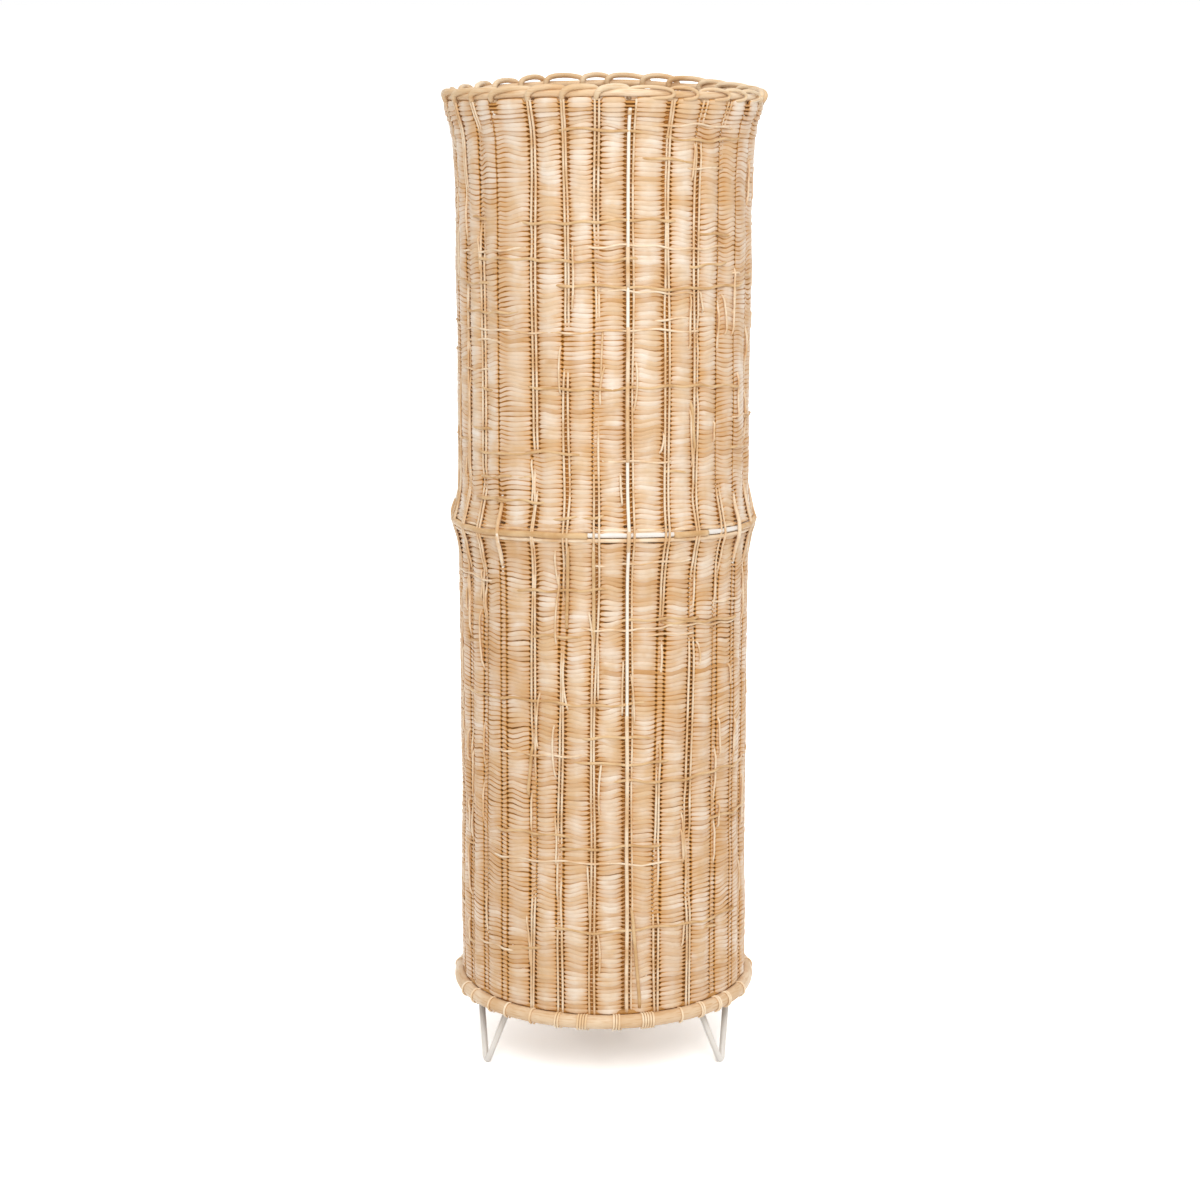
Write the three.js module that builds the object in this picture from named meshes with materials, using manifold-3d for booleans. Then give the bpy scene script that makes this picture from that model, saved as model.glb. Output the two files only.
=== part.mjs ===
// A rattan floor lamp: a tall woven column on three hairpin legs of white wire, with a bulb in its base.
// Lengths are in millimetres. +Z is up, -Y is the front, and the origin is on the floor under the middle.
// A place round the column is a turn in degrees, counted from the front towards +X.
import * as THREE from "three";
import { mergeVertices } from "three/addons/utils/BufferGeometryUtils.js";
import Module from "manifold-3d";

const wasm = await Module();
wasm.setup();

// Whole lamp
const totalHeight = 1000;
const gap = 0.3;

// Woven column
const bodyRadius = 147.2;
const footSplay = 1.8;
const columnCount = 28;
const columnStartAngle = 9;
const weaverThickness = 2.6;
const stakeDiameter = 2.8;
const pairWidth = 4.6;
const innerStakeDiameter = 3.2;
const taperHeight = 300;

// How far the outer stakes in front lean aside, in shares of a column: under the taper, over the collar
const lowDriftShares = {
  21: 0.07, 22: 0.09, 23: 0.02, 25: 0.05, 26: -0.06, 27: -0.05,
  1: -0.07, 2: 0.02, 3: 0.11, 5: -0.12, 6: -0.19,
};
const highDriftShares = {
  21: 0.18, 22: 0.19, 23: 0.16, 25: 0.19, 26: 0.19, 27: 0.09,
  1: 0.19, 2: 0.2, 3: 0.19, 5: 0.09, 6: 0.02,
};
const hiddenDriftShare = 0.1;

// Collar, where the steel ring swells the column
const collarHeight = 561.6;
const collarSwell = 8.3;
const collarWire = 5;
const collarReachBelow = 43.6;
const collarReachAbove = 38.4;
const bridgeReach = 3.5;

// Flared mouth and its border
const flareReach = 68;
const flareRiseShares = [0.59, 0.85];
const flareSwellShares = [0.24, 0.59];
const mouthInset = 4;
const mouthWave = 3;
const rimFlare = 13.1;
const rimCane = 8;
const rimDrop = 13.5;
const borderCane = 4.2;
const borderRise = 7.4;
const lockCane = 4.4;

// Hand-made lift of the front and back, over the sides, at the collar and at the rim
const collarLift = 10;
const rimLift = 9;

// Base hoop, and the straps that bind it to the steel base ring
const hoopCane = 14;
const hoopSplay = 2.4;
const hoopHeight = 75;
const strapWidth = 2.2;
const strapThickness = 1.2;
const strapGap = 0.5;
const strapClearance = 0.6;
const frontStraps = [
  [-59.5, 1],
  [-48.2, 1],
  [-39.6, 1],
  [-28.2, 1],
  [-17.5, 2],
  [-8, 4],
  [4.9, 3],
  [16.8, 5],
  [30.6, 1],
  [40.3, 2],
  [49.3, 2],
  [55.6, 2],
];
const backStrapCount = 9;
const backStrapTurns = [68, 292];

// White steel frame
const ringWire = 6.5;
const uprightWire = 3;
const uprightClearance = 0.45;
const uprightEvery = 4;
const uprightLane = 6;
const uprightTail = 5;
const uprightBendRise = 3.6;
const uprightFootDrop = 1.2;
const uprightTipDrop = 1;
const legWire = 6.5;
const legTurns = { leg_right: 60, leg_back: 180, leg_left: -60 };
const legSpreadAngle = 14;
const legBendRadius = 3.6;
const footLean = 6.65;
const footFlat = 0.2;
const armWire = 5;
const armTurns = [0, 120, 240];
const plateRadius = 30;
const plateHole = 20.4;
const plateThickness = 2;
const armSeat = 24.5;

// Bulb holder, clamped in the plate between its flange and its ring
const skirtRadius = 19.5;
const skirtBoreRadius = 14.2;
const skirtChamberRadius = 16.5;
const skirtHeight = 46;
const flangeRadius = 22.5;
const flangeThickness = 3;
const skirtTail = 8;
const threadDepth = 0.7;
const threadStart = 3;
const capRadius = 20.5;
const capWall = 2;
const capHeight = 26;
const capShoulder = 8;
const neckRadius = 7.5;
const neckHeight = 5;
const cordBore = 3.6;
const bushRadius = 6.4;
const bushHeight = 4;
const insertRadius = 16;
const insertHeight = 22;
const insertNeckRadius = 12;
const insertNeckHeight = 4;
const screwRadius = 2.6;
const screwHeight = 4;
const screwPlace = 9;
const clampRingRadius = 25;
const clampRingHeight = 8;
const clampLipRadius = 27.5;
const clampLipHeight = 2;
const contactThickness = 0.4;
const contactWidth = 3;
const contactLength = 9;
const sideContactRise = 16;
const contactRise = 4.5;
const contactPlay = 0.45;

// Bulb
const bulbRadius = 30;
const bulbLength = 108;
const bulbCapRadius = 13;
const bulbCapHeight = 22;
const bulbNeckRadius = 12.4;
const bulbCapTaper = 3.6;
const glassWall = 1;
const glassNeckShare = 1 / 3;
const glassBellyShare = 1 / 2;
const glassSwellShares = [0.3, 0.55, 0.8, 1];
const crownSteps = 4;
const insulatorRadius = 10;
const insulatorHeight = 4;
const buttonRadius = 4.5;
const buttonHeight = 1.2;

// Facets
const turnedFacets = 16;
const glassFacets = 20;
const buttonFacets = 12;
const hoopFacets = 42;
const caneSides = 8;
const wireSides = 6;
const rodSides = 5;
const borderSides = 5;
const bendSteps = 5;
const strapHoopSteps = 4;
const strapRingSteps = 3;

const white = { color: 0xf1efec, roughness: 0.35, metalness: 0 };
const cane = { color: 0xe3c8a2, roughness: 0.5, metalness: 0 };
const tan = { color: 0xd8b184, roughness: 0.45, metalness: 0 };
const strap = { color: 0xe6c9a6, roughness: 0.5, metalness: 0 };
const plastic = { color: 0xece9e3, roughness: 0.4, metalness: 0 };
const ceramic = { color: 0xf4f2ee, roughness: 0.25, metalness: 0 };
const brass = { color: 0xc9a24b, roughness: 0.3, metalness: 1 };
const nickel = { color: 0xb9b9b6, roughness: 0.3, metalness: 1 };
const opal = { color: 0xf7f5f0, roughness: 0.2, metalness: 0 };
const dark = { color: 0x2b2a29, roughness: 0.4, metalness: 0 };

const lamp = new THREE.Group();

function addPiece(name, geometry, look, parent = lamp) {
  const mesh = new THREE.Mesh(geometry, new THREE.MeshStandardMaterial(look));
  mesh.name = name;
  parent.add(mesh);
  return mesh;
}

// Widths, which all follow the column's body
const footRadius = bodyRadius + footSplay;
const collarRadius = bodyRadius + collarSwell;
const rimRadius = bodyRadius + rimFlare;
const hoopRadius = bodyRadius + hoopSplay;
const baseRingRadius = hoopRadius - hoopCane / 2 - uprightLane - ringWire / 2;
const footReach = baseRingRadius + footLean;

// Heights at the rim, from the top down
const archTop = totalHeight - rimLift - borderCane / 2;
const rimHeight = archTop - borderRise;
const weaveTop = rimHeight - rimDrop;
const mouthRadius = rimRadius - mouthInset;

// Directions and places round the column
function outward(turn) {
  const angle = THREE.MathUtils.degToRad(turn);
  return new THREE.Vector3(Math.sin(angle), -Math.cos(angle), 0);
}

function along(turn) {
  const angle = THREE.MathUtils.degToRad(turn);
  return new THREE.Vector3(Math.cos(angle), Math.sin(angle), 0);
}

// How far the hand-made rise lifts a point that would be at this height on the side of the lamp
function lift(turn, height) {
  const low = THREE.MathUtils.mapLinear(height, hoopHeight + hoopCane, collarHeight, 0, collarLift);
  const high = THREE.MathUtils.mapLinear(height, collarHeight, rimHeight, collarLift, rimLift);
  const most = height < collarHeight ? Math.max(low, 0) : high;
  return most * Math.cos(THREE.MathUtils.degToRad(turn)) ** 2;
}

function place(turn, radius, height) {
  return outward(turn)
    .multiplyScalar(radius)
    .setZ(height + lift(turn, height));
}

// A closed surface through a row of equal loops. Each loop turns right-handed about the way along the row.
function loft(loops, closed = false) {
  const count = loops[0].length;
  const rows = closed ? loops.length : loops.length - 1;
  const index = [];
  for (let row = 0; row < rows; row++) {
    const next = ((row + 1) % loops.length) * count;
    for (let k = 0; k < count; k++) {
      const a = row * count + k;
      const b = row * count + ((k + 1) % count);
      const c = next + k;
      const d = next + ((k + 1) % count);
      index.push(a, b, d, a, d, c);
    }
  }
  const last = (loops.length - 1) * count;
  for (let k = 1; k < count - 1 && !closed; k++) {
    index.push(0, k + 1, k, last, last + k, last + k + 1);
  }
  const points = loops.flat().flatMap((point) => point.toArray());
  const geometry = new THREE.BufferGeometry();
  geometry.setAttribute("position", new THREE.Float32BufferAttribute(points, 3));
  geometry.setIndex(index);
  geometry.computeVertexNormals();
  return geometry;
}

// How far the flats of a many-sided round section lie from its middle
function flatReach(diameter, sides) {
  return (diameter / 2) * Math.cos(Math.PI / sides);
}

// A section of flat-sided round wire, with a flat towards its first axis
function roundSection(diameter, sides) {
  const corners = [];
  for (let k = 0; k < sides; k++) {
    const angle = ((k + 0.5) / sides) * 2 * Math.PI;
    corners.push(new THREE.Vector2(Math.cos(angle), Math.sin(angle)).multiplyScalar(diameter / 2));
  }
  return corners;
}

function flatSection(width, thickness) {
  const x = width / 2;
  const y = thickness / 2;
  return [
    new THREE.Vector2(x, -y),
    new THREE.Vector2(x, y),
    new THREE.Vector2(-x, y),
    new THREE.Vector2(-x, -y),
  ];
}

// Carries a section along a path, with its first axis kept towards sideAt(step)
function sweep(path, section, sideAt) {
  const loops = path.map((point, step) => {
    const before = path[Math.max(step - 1, 0)];
    const after = path[Math.min(step + 1, path.length - 1)];
    const inWay = point.clone().sub(before).normalize();
    const outWay = after.clone().sub(point).normalize();
    const way = inWay.add(outWay).normalize();
    const side = sideAt(step).clone();
    side.addScaledVector(way, -side.dot(way)).normalize();
    const third = way.clone().cross(side);
    return section.map(({ x, y }) =>
      point.clone().addScaledVector(side, x).addScaledVector(third, y),
    );
  });
  return loft(loops);
}

// A hoop of round section that follows the lift of the column
function hoop(radius, height, diameter, sides, facets) {
  const section = roundSection(diameter, sides);
  const loops = [];
  for (let step = 0; step < facets; step++) {
    const turn = columnStartAngle + (step / facets) * 360;
    loops.push(section.map(({ x, y }) => place(turn, radius + y, height).setZ(
      height + x + lift(turn, height),
    )));
  }
  return loft(loops, true);
}

// A turned piece: its profile runs up the outside and down the inside, in radius and height
function turned(profile, facets = turnedFacets) {
  const points = profile.map(([radius, height]) => new THREE.Vector2(radius, height));
  const open = profile[0][0] > 0 || profile.at(-1)[0] > 0;
  if (open) points.push(points[0].clone());
  const geometry = new THREE.LatheGeometry(points, facets);
  geometry.rotateX(Math.PI / 2);
  return geometry;
}

function solidOf(geometry) {
  const bare = geometry.clone();
  bare.deleteAttribute("normal");
  bare.deleteAttribute("uv");
  const merged = mergeVertices(bare);
  const vertProperties = new Float32Array(merged.attributes.position.array);
  const triVerts = new Uint32Array(merged.index.array);
  return new wasm.Manifold(new wasm.Mesh({ numProp: 3, vertProperties, triVerts }));
}

function geometryOf(solid) {
  const { vertProperties, triVerts } = solid.getMesh();
  const geometry = new THREE.BufferGeometry();
  geometry.setAttribute("position", new THREE.BufferAttribute(vertProperties, 3));
  geometry.setIndex(new THREE.BufferAttribute(triVerts, 1));
  geometry.computeVertexNormals();
  return geometry;
}

function joined(geometries) {
  return geometryOf(geometries.map(solidOf).reduce((whole, next) => whole.add(next)));
}

// The weave: weavers pass in front of the inner stakes and behind the outer ones, so the wall is fluted.
// Each level gives a height, the radius of the crests and how far the wall dips behind an outer stake.
const wave = weaverThickness + stakeDiameter;
const stakePitch = 360 / columnCount;
const collarRingRadius = collarRadius - stakeDiameter - gap - collarWire / 2;
const collarCrest = collarRingRadius - collarWire / 2 - gap + weaverThickness;
const collarWave = collarCrest - collarRingRadius - collarWire / 2;
const weaveBottom = hoopHeight + hoopCane / 2 + strapThickness + 2 * gap;
const columnWidth = (2 * Math.PI * bodyRadius) / columnCount;
const stakeShare = pairWidth / 2 / columnWidth;
const grooveShare = (pairWidth + stakeDiameter + gap) / 2 / columnWidth;
const columnShares = [-grooveShare, -stakeShare, 0, stakeShare, grooveShare, 0.5];

function level(height, crest, dip) {
  return { height, crest, dip };
}

const lowerLevels = [
  level(weaveBottom, footRadius, wave),
  level(taperHeight, bodyRadius, wave),
  level(collarHeight - collarReachBelow, bodyRadius, wave),
  level(collarHeight - collarWire / 2 - gap, collarCrest, collarWave),
];
const upperLevels = [
  level(collarHeight + collarWire / 2 + gap, collarCrest, collarWave),
  level(collarHeight + collarReachAbove, bodyRadius, wave),
  level(weaveTop - flareReach, bodyRadius, wave),
  ...flareRiseShares.map((share, k) => level(
    weaveTop - flareReach * (1 - share),
    THREE.MathUtils.lerp(bodyRadius, mouthRadius, flareSwellShares[k]),
    wave,
  )),
  level(weaveTop, mouthRadius, mouthWave),
];

// The weavers' outer face at a share of the way from one outer stake to the next
function weaverFace({ crest, dip }, share) {
  return crest - dip * Math.cos(Math.PI * share) ** 2;
}

function hasUpright(column) {
  return column % uprightEvery === 0;
}

// The hand-made drift of one stake, which the steel rods don't share
function stakeDriftShare(column, height) {
  const own = (column + columnCount) % columnCount;
  if (hasUpright(own)) return 0;
  const low = lowDriftShares[own] ?? hiddenDriftShare * Math.sin(2 * own);
  const high = highDriftShares[own] ?? hiddenDriftShare * Math.sin(3 * own);
  const reach = collarHeight + collarReachAbove - taperHeight;
  return THREE.MathUtils.lerp(low, high, THREE.MathUtils.clamp((height - taperHeight) / reach, 0, 1));
}

// The turn at a place counted in columns, which follows the stakes on either side of it
function turnAt(position, height) {
  const column = Math.floor(position);
  const drifts = [column, column + 1].map((one) => stakeDriftShare(one, height));
  const drift = THREE.MathUtils.lerp(...drifts, position - column);
  return columnStartAngle + (position + drift) * stakePitch;
}

// Two thin stakes stand side by side in each groove, apart from the grooves of the steel rods
function weave(levels, innerLevels) {
  const loops = [];
  for (let column = 0; column < columnCount; column++) {
    for (const share of columnShares) {
      const point = (one, step) =>
        place(turnAt(column + share, one.height), weaverFace(one, share) + step, one.height);
      const ridge = Math.abs(share) === stakeShare && !hasUpright(column) ? stakeDiameter : 0;
      const rib = share === 0.5 ? innerStakeDiameter : 0;
      const outer = levels.map((one) => point(one, ridge));
      const inner = innerLevels.map((one) => point(one, -weaverThickness - rib));
      loops.push([...outer.reverse(), ...inner]);
    }
  }
  return loft(loops, true);
}

// Where an outer stake crosses the steel collar ring, it bridges from the lower weave to the upper one
function stakeBridge(position) {
  const turn = turnAt(position, collarHeight);
  const radius = collarRingRadius + collarWire / 2 + gap + stakeDiameter / 2;
  const low = collarHeight - collarWire / 2 - gap - bridgeReach;
  const high = collarHeight + collarWire / 2;
  const path = [place(turn, radius, low), place(turn, radius, high)];
  return sweep(path, flatSection(stakeDiameter, stakeDiameter), () => along(turn));
}

function lowerWeave() {
  const bridges = [];
  for (let column = 0; column < columnCount; column++) {
    for (const side of [-stakeShare, stakeShare]) {
      if (!hasUpright(column)) bridges.push(stakeBridge(column + side));
    }
  }
  return joined([weave(lowerLevels, lowerLevels), ...bridges]);
}

function upperWeave() {
  return weave(upperLevels, [0, 1, 2, 3, 5].map((k) => upperLevels[k]));
}

// The border: stake ends bent over in long arches, from outside the rim cane to inside it, past one stake.
const rimCaneRadius = rimRadius - borderCane - gap - rimCane / 2;
const borderReach = (rimCane + borderCane) / 2 + gap;
const lockHeight = weaveTop + gap + lockCane / 2;
const lockRadius = mouthRadius - mouthWave + lockCane / 2 - gap;
const archShares = [0.02, 0.06, 0.16, 0.36, 0.68, 1, 1.18, 1.28];

function archPath(column) {
  const crown = archTop - rimHeight;
  const offsets = [
    [lockRadius - rimCaneRadius, lockHeight - rimHeight],
    [borderReach, 0],
    [borderReach, borderCane],
    [rimCane / 2, crown - gap],
    [0, crown],
    [-rimCane / 2, crown - gap],
    [-borderReach, borderCane],
    [-borderReach, -borderCane],
  ];
  return archShares.map((share, k) => {
    return place(turnAt(column + share, rimHeight), rimCaneRadius + offsets[k][0], rimHeight + offsets[k][1]);
  });
}

function border() {
  const pieces = [hoop(lockRadius, lockHeight, lockCane, borderSides, hoopFacets)];
  for (let column = 0; column < columnCount; column++) {
    const sideAt = (step) => outward(turnAt(column + archShares[step], rimHeight));
    pieces.push(sweep(archPath(column), roundSection(borderCane, borderSides), sideAt));
  }
  return joined(pieces);
}

// Straps: each is one unbroken strip wound round the base hoop and the steel base ring together
const strapPitch = strapWidth + strapGap;

function strapLoop() {
  const around = strapClearance + strapThickness / 2;
  const big = hoopCane / 2 + around;
  const small = ringWire / 2 + around;
  const touch = Math.acos((big - small) / (hoopRadius - baseRingRadius));
  const loop = [];
  const arc = (middle, radius, from, to, steps) => {
    const reach = radius / Math.cos((to - from) / steps / 2);
    for (let k = 0; k <= steps; k++) {
      const angle = from + ((to - from) * k) / steps;
      loop.push([middle + reach * Math.cos(angle), hoopHeight + reach * Math.sin(angle)]);
    }
  };
  arc(baseRingRadius, small, touch, 2 * Math.PI - touch, strapRingSteps);
  arc(hoopRadius, big, -touch, touch, strapHoopSteps);
  return loop;
}

function strapPath(turn, loops) {
  const loop = strapLoop();
  const path = [];
  for (let step = 0; step <= loops * loop.length; step++) {
    const [radius, height] = loop[step % loop.length];
    const shift = (step / loop.length - loops / 2) * strapPitch;
    const point = outward(turn).multiplyScalar(radius).setZ(height);
    path.push(point.addScaledVector(along(turn), shift));
  }
  return path;
}

// The least gap between a strap's neighbouring loops, measured on its points
function leastLoopGap(path, perLoop) {
  const spans = path.slice(perLoop).map((point, step) => point.distanceTo(path[step]));
  return Math.min(...spans) - strapWidth;
}

function straps() {
  const places = [...frontStraps];
  const [from, to] = backStrapTurns;
  for (let k = 0; k < backStrapCount; k++) {
    places.push([from + ((to - from) * k) / (backStrapCount - 1), 1]);
  }
  const perLoop = strapLoop().length;
  const gaps = [];
  places.forEach(([turn, loops], k) => {
    const path = strapPath(turn, loops);
    gaps.push(leastLoopGap(path, perLoop));
    const strip = sweep(path, flatSection(strapWidth, strapThickness), () => along(turn));
    addPiece("base_strap_" + (k + 1), strip, strap);
  });
  console.log("least gap between the loops of a strap: " + Math.min(...gaps).toFixed(2) + " mm");
}

// Uprights: steel rods woven in as stakes, from beside the base ring to under the border
function uprightPath(turn) {
  const off = uprightClearance + uprightWire / 2;
  const levels = [...lowerLevels, ...upperLevels.slice(0, -1)];
  levels.push({ ...upperLevels.at(-1), height: weaveTop - uprightTipDrop });
  const path = levels.map((one) => place(turn, weaverFace(one, 0) + off, one.height));
  const foot = path[0].clone().setZ(weaveBottom - uprightFootDrop);
  const tail = baseRingRadius + ringWire / 2 + gap + uprightWire / 2;
  const bend = place(turn, tail, hoopHeight + uprightBendRise);
  return [place(turn, tail, hoopHeight - uprightTail), bend, foot, ...path];
}

function uprights() {
  const count = columnCount / uprightEvery;
  for (let k = 0; k < count; k++) {
    const turn = columnStartAngle + k * uprightEvery * stakePitch;
    const rod = sweep(uprightPath(turn), roundSection(uprightWire, rodSides), () => along(turn));
    addPiece("frame_upright_" + (k + 1), rod, white);
  }
}

// A hairpin leg: two strands from the underside of the base ring, bent round into one foot
function hairpin(turn) {
  const spread = THREE.MathUtils.degToRad(legSpreadAngle);
  const reach = Math.sin(spread) * baseRingRadius;
  const topRadius = Math.cos(spread) * baseRingRadius;
  const top = hoopHeight - flatReach(ringWire, wireSides) - gap;
  const bendHeight = legBendRadius + legWire / 2;
  const rise = top - bendHeight;
  const lean = Math.atan2(reach, rise) - Math.asin(legBendRadius / Math.hypot(reach, rise));
  const flat = [[-reach, top]];
  for (let k = 0; k <= bendSteps; k++) {
    const angle = Math.PI + lean + ((Math.PI - 2 * lean) * k) / bendSteps;
    flat.push([legBendRadius * Math.cos(angle), bendHeight + legBendRadius * Math.sin(angle)]);
  }
  flat.push([reach, top]);
  const path = flat.map(([aside, height]) => {
    const share = height / top;
    const radius = THREE.MathUtils.lerp(footReach, topRadius, share);
    return outward(turn).multiplyScalar(radius).addScaledVector(along(turn), aside).setZ(height);
  });
  return sweep(path, roundSection(legWire, caneSides), () => outward(turn));
}

// Each leg is trimmed level under the base ring and dressed flat where it stands
function legs() {
  for (const [name, turn] of Object.entries(legTurns)) {
    const wire = hairpin(turn);
    wire.computeBoundingBox();
    const foot = wire.boundingBox.min.z;
    const top = hoopHeight - flatReach(ringWire, wireSides) - gap;
    const size = 4 * footReach;
    const slab = new THREE.BoxGeometry(size, size, top);
    slab.translate(0, 0, top / 2);
    wire.translate(0, 0, -foot - footFlat);
    addPiece(name, geometryOf(solidOf(wire).intersect(solidOf(slab))), white);
  }
}

// The spider: three arms from the base ring, under a flat plate with the holder's hole
const plateHeight = hoopHeight + flatReach(armWire, caneSides) + gap;

function spider() {
  const outerEnd = baseRingRadius * Math.cos(Math.PI / hoopFacets) - ringWire / 2 - gap;
  const length = outerEnd - armSeat;
  armTurns.forEach((turn, k) => {
    const arm = new THREE.CylinderGeometry(armWire / 2, armWire / 2, length, caneSides);
    arm.rotateY(Math.PI / caneSides);
    const mesh = addPiece("spider_arm_" + (k + 1), arm, white);
    mesh.position.copy(outward(turn).multiplyScalar((outerEnd + armSeat) / 2));
    mesh.position.z = hoopHeight;
    mesh.rotation.z = THREE.MathUtils.degToRad(turn);
  });
  addPiece("spider_plate", plate(), white).position.z = plateHeight;
}

function plate() {
  const outline = new THREE.Shape().absarc(0, 0, plateRadius, 0, 2 * Math.PI);
  outline.holes.push(new THREE.Path().absarc(0, 0, plateHole, 0, 2 * Math.PI, true));
  return new THREE.ExtrudeGeometry(outline, {
    depth: plateThickness,
    bevelEnabled: false,
    curveSegments: turnedFacets / 2,
  });
}

// The bulb holder's pieces, stacked from the cord inlet up
const flangeTop = plateHeight - gap;
const skirtBottom = flangeTop - flangeThickness - skirtTail;
const capTop = skirtBottom - gap;
const capBottom = capTop - capHeight;
const chamberTop = flangeTop + flangeThickness;
const insertTop = chamberTop - flangeThickness;
const insertBottom = insertTop - insertHeight;
const contactTop = insertTop + gap + contactRise;

function holderSkirt() {
  const top = skirtBottom + skirtHeight;
  return turned([
    [capRadius, skirtBottom],
    [capRadius, flangeTop - flangeThickness],
    [flangeRadius, flangeTop - flangeThickness],
    [flangeRadius, flangeTop],
    [skirtRadius - threadDepth, flangeTop],
    [skirtRadius - threadDepth, flangeTop + threadStart],
    [skirtRadius, flangeTop + threadStart],
    [skirtRadius, top - threadDepth],
    [skirtRadius - threadDepth, top],
    [skirtBoreRadius, top],
    [skirtBoreRadius, chamberTop],
    [skirtChamberRadius, chamberTop],
    [skirtChamberRadius, skirtBottom],
  ]);
}

function holderCap() {
  return turned([
    [bushRadius - capWall, capBottom - neckHeight],
    [neckRadius, capBottom - neckHeight],
    [neckRadius, capBottom],
    [capRadius - capShoulder / 2, capBottom + capShoulder / 4],
    [capRadius, capBottom + capShoulder],
    [capRadius, capTop],
    [capRadius - capWall, capTop],
    [capRadius - capWall, capBottom + capShoulder],
    [capRadius - capWall - capShoulder / 2, capBottom + capShoulder / 4 + capWall],
    [bushRadius - capWall, capBottom + capWall],
  ]);
}

function cordBush() {
  const top = capBottom - neckHeight - gap;
  return turned([
    [cordBore, top - bushHeight],
    [bushRadius - capWall / 2, top - bushHeight],
    [bushRadius, top - bushHeight / 2],
    [bushRadius, top],
    [cordBore, top],
  ]);
}

function holderInsert() {
  return turned([
    [0, insertBottom],
    [insertNeckRadius, insertBottom],
    [insertNeckRadius, insertBottom + insertNeckHeight],
    [insertRadius, insertBottom + insertNeckHeight],
    [insertRadius, insertTop],
    [0, insertTop],
  ]);
}

// A spring tongue: a foot along the insert and a blade that rises from it
function tongue(foot, rise) {
  const outline = new THREE.Shape();
  outline.moveTo(0, 0);
  outline.lineTo(foot, 0);
  outline.lineTo(foot, rise);
  outline.lineTo(foot - contactThickness, rise);
  outline.lineTo(foot - contactThickness, contactThickness);
  outline.lineTo(0, contactThickness);
  outline.closePath();
  const blade = new THREE.ExtrudeGeometry(outline, { depth: contactWidth, bevelEnabled: false });
  blade.translate(0, 0, -contactWidth / 2);
  blade.rotateX(Math.PI / 2);
  return blade;
}

// The centre tongue doubles back over itself to meet the bulb's button
function centreTongue() {
  const reach = contactLength / 2;
  const outline = new THREE.Shape();
  outline.moveTo(reach, 0);
  outline.lineTo(-reach, 0);
  outline.lineTo(-reach, contactRise / 2);
  outline.lineTo(reach / 2, contactRise);
  outline.lineTo(reach, contactRise);
  outline.lineTo(reach, contactRise - contactThickness);
  outline.lineTo(reach / 2, contactRise - contactThickness);
  outline.lineTo(-reach + contactThickness, contactRise / 2 - contactThickness);
  outline.lineTo(-reach + contactThickness, contactThickness);
  outline.lineTo(reach, contactThickness);
  outline.closePath();
  const blade = new THREE.ExtrudeGeometry(outline, { depth: contactWidth, bevelEnabled: false });
  blade.translate(0, 0, -contactWidth / 2);
  blade.rotateX(Math.PI / 2);
  return blade;
}

function clampRing() {
  const low = plateHeight + plateThickness + gap;
  const bore = skirtRadius + gap;
  return turned([
    [bore, low],
    [clampLipRadius, low],
    [clampLipRadius, low + clampLipHeight],
    [clampRingRadius, low + clampLipHeight + gap],
    [clampRingRadius - capWall / 2, low + clampRingHeight],
    [bore, low + clampRingHeight],
  ]);
}

function terminalScrew() {
  const slot = new THREE.BoxGeometry(4 * screwRadius, screwRadius / 3, screwHeight / 2);
  const head = new THREE.CylinderGeometry(screwRadius, screwRadius, screwHeight, caneSides);
  head.rotateX(Math.PI / 2);
  slot.translate(0, 0, -screwHeight / 2);
  return geometryOf(solidOf(head).subtract(solidOf(slot)));
}

function holder() {
  addPiece("holder_cap", holderCap(), plastic);
  addPiece("holder_skirt", holderSkirt(), plastic);
  addPiece("holder_clamp_ring", clampRing(), plastic);
  addPiece("cord_inlet_bush", cordBush(), dark);
  addPiece("holder_insert", holderInsert(), ceramic);
  addPiece("holder_centre_contact", centreTongue(), brass).position.z = insertTop + gap;
  const foot = contactLength / 2;
  const sideContact = addPiece("holder_side_contact", tongue(foot, sideContactRise), brass);
  sideContact.position.set(skirtBoreRadius - contactPlay - foot, 0, insertTop + gap);
  [-1, 1].forEach((side, k) => {
    const screw = addPiece("terminal_screw_" + (k + 1), terminalScrew(), brass);
    screw.position.set(side * screwPlace, 0, insertBottom - gap - screwHeight / 2);
  });
}

// The bulb: screw cap, insulator and button below, and a pear of opal glass above
const buttonBottom = contactTop + gap;
const bulbCapBottom = buttonBottom + buttonHeight + gap + insulatorHeight + gap;
const bulbCapTop = bulbCapBottom + bulbCapHeight;
const bulbTop = buttonBottom + bulbLength;
const bulbMiddle = bulbTop - bulbRadius;

function bulbButton() {
  return turned([
    [0, buttonBottom],
    [buttonRadius - buttonHeight / 2, buttonBottom],
    [buttonRadius, buttonBottom + buttonHeight],
    [0, buttonBottom + buttonHeight],
  ], buttonFacets);
}

function bulbInsulator() {
  const low = buttonBottom + buttonHeight + gap;
  return turned([
    [0, low],
    [buttonRadius, low],
    [insulatorRadius, low + insulatorHeight],
    [0, low + insulatorHeight],
  ]);
}

function bulbScrewCap() {
  return turned([
    [0, bulbCapBottom],
    [insulatorRadius, bulbCapBottom],
    [bulbCapRadius, bulbCapBottom + bulbCapTaper],
    [bulbCapRadius, bulbCapTop],
    [0, bulbCapTop],
  ]);
}

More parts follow.
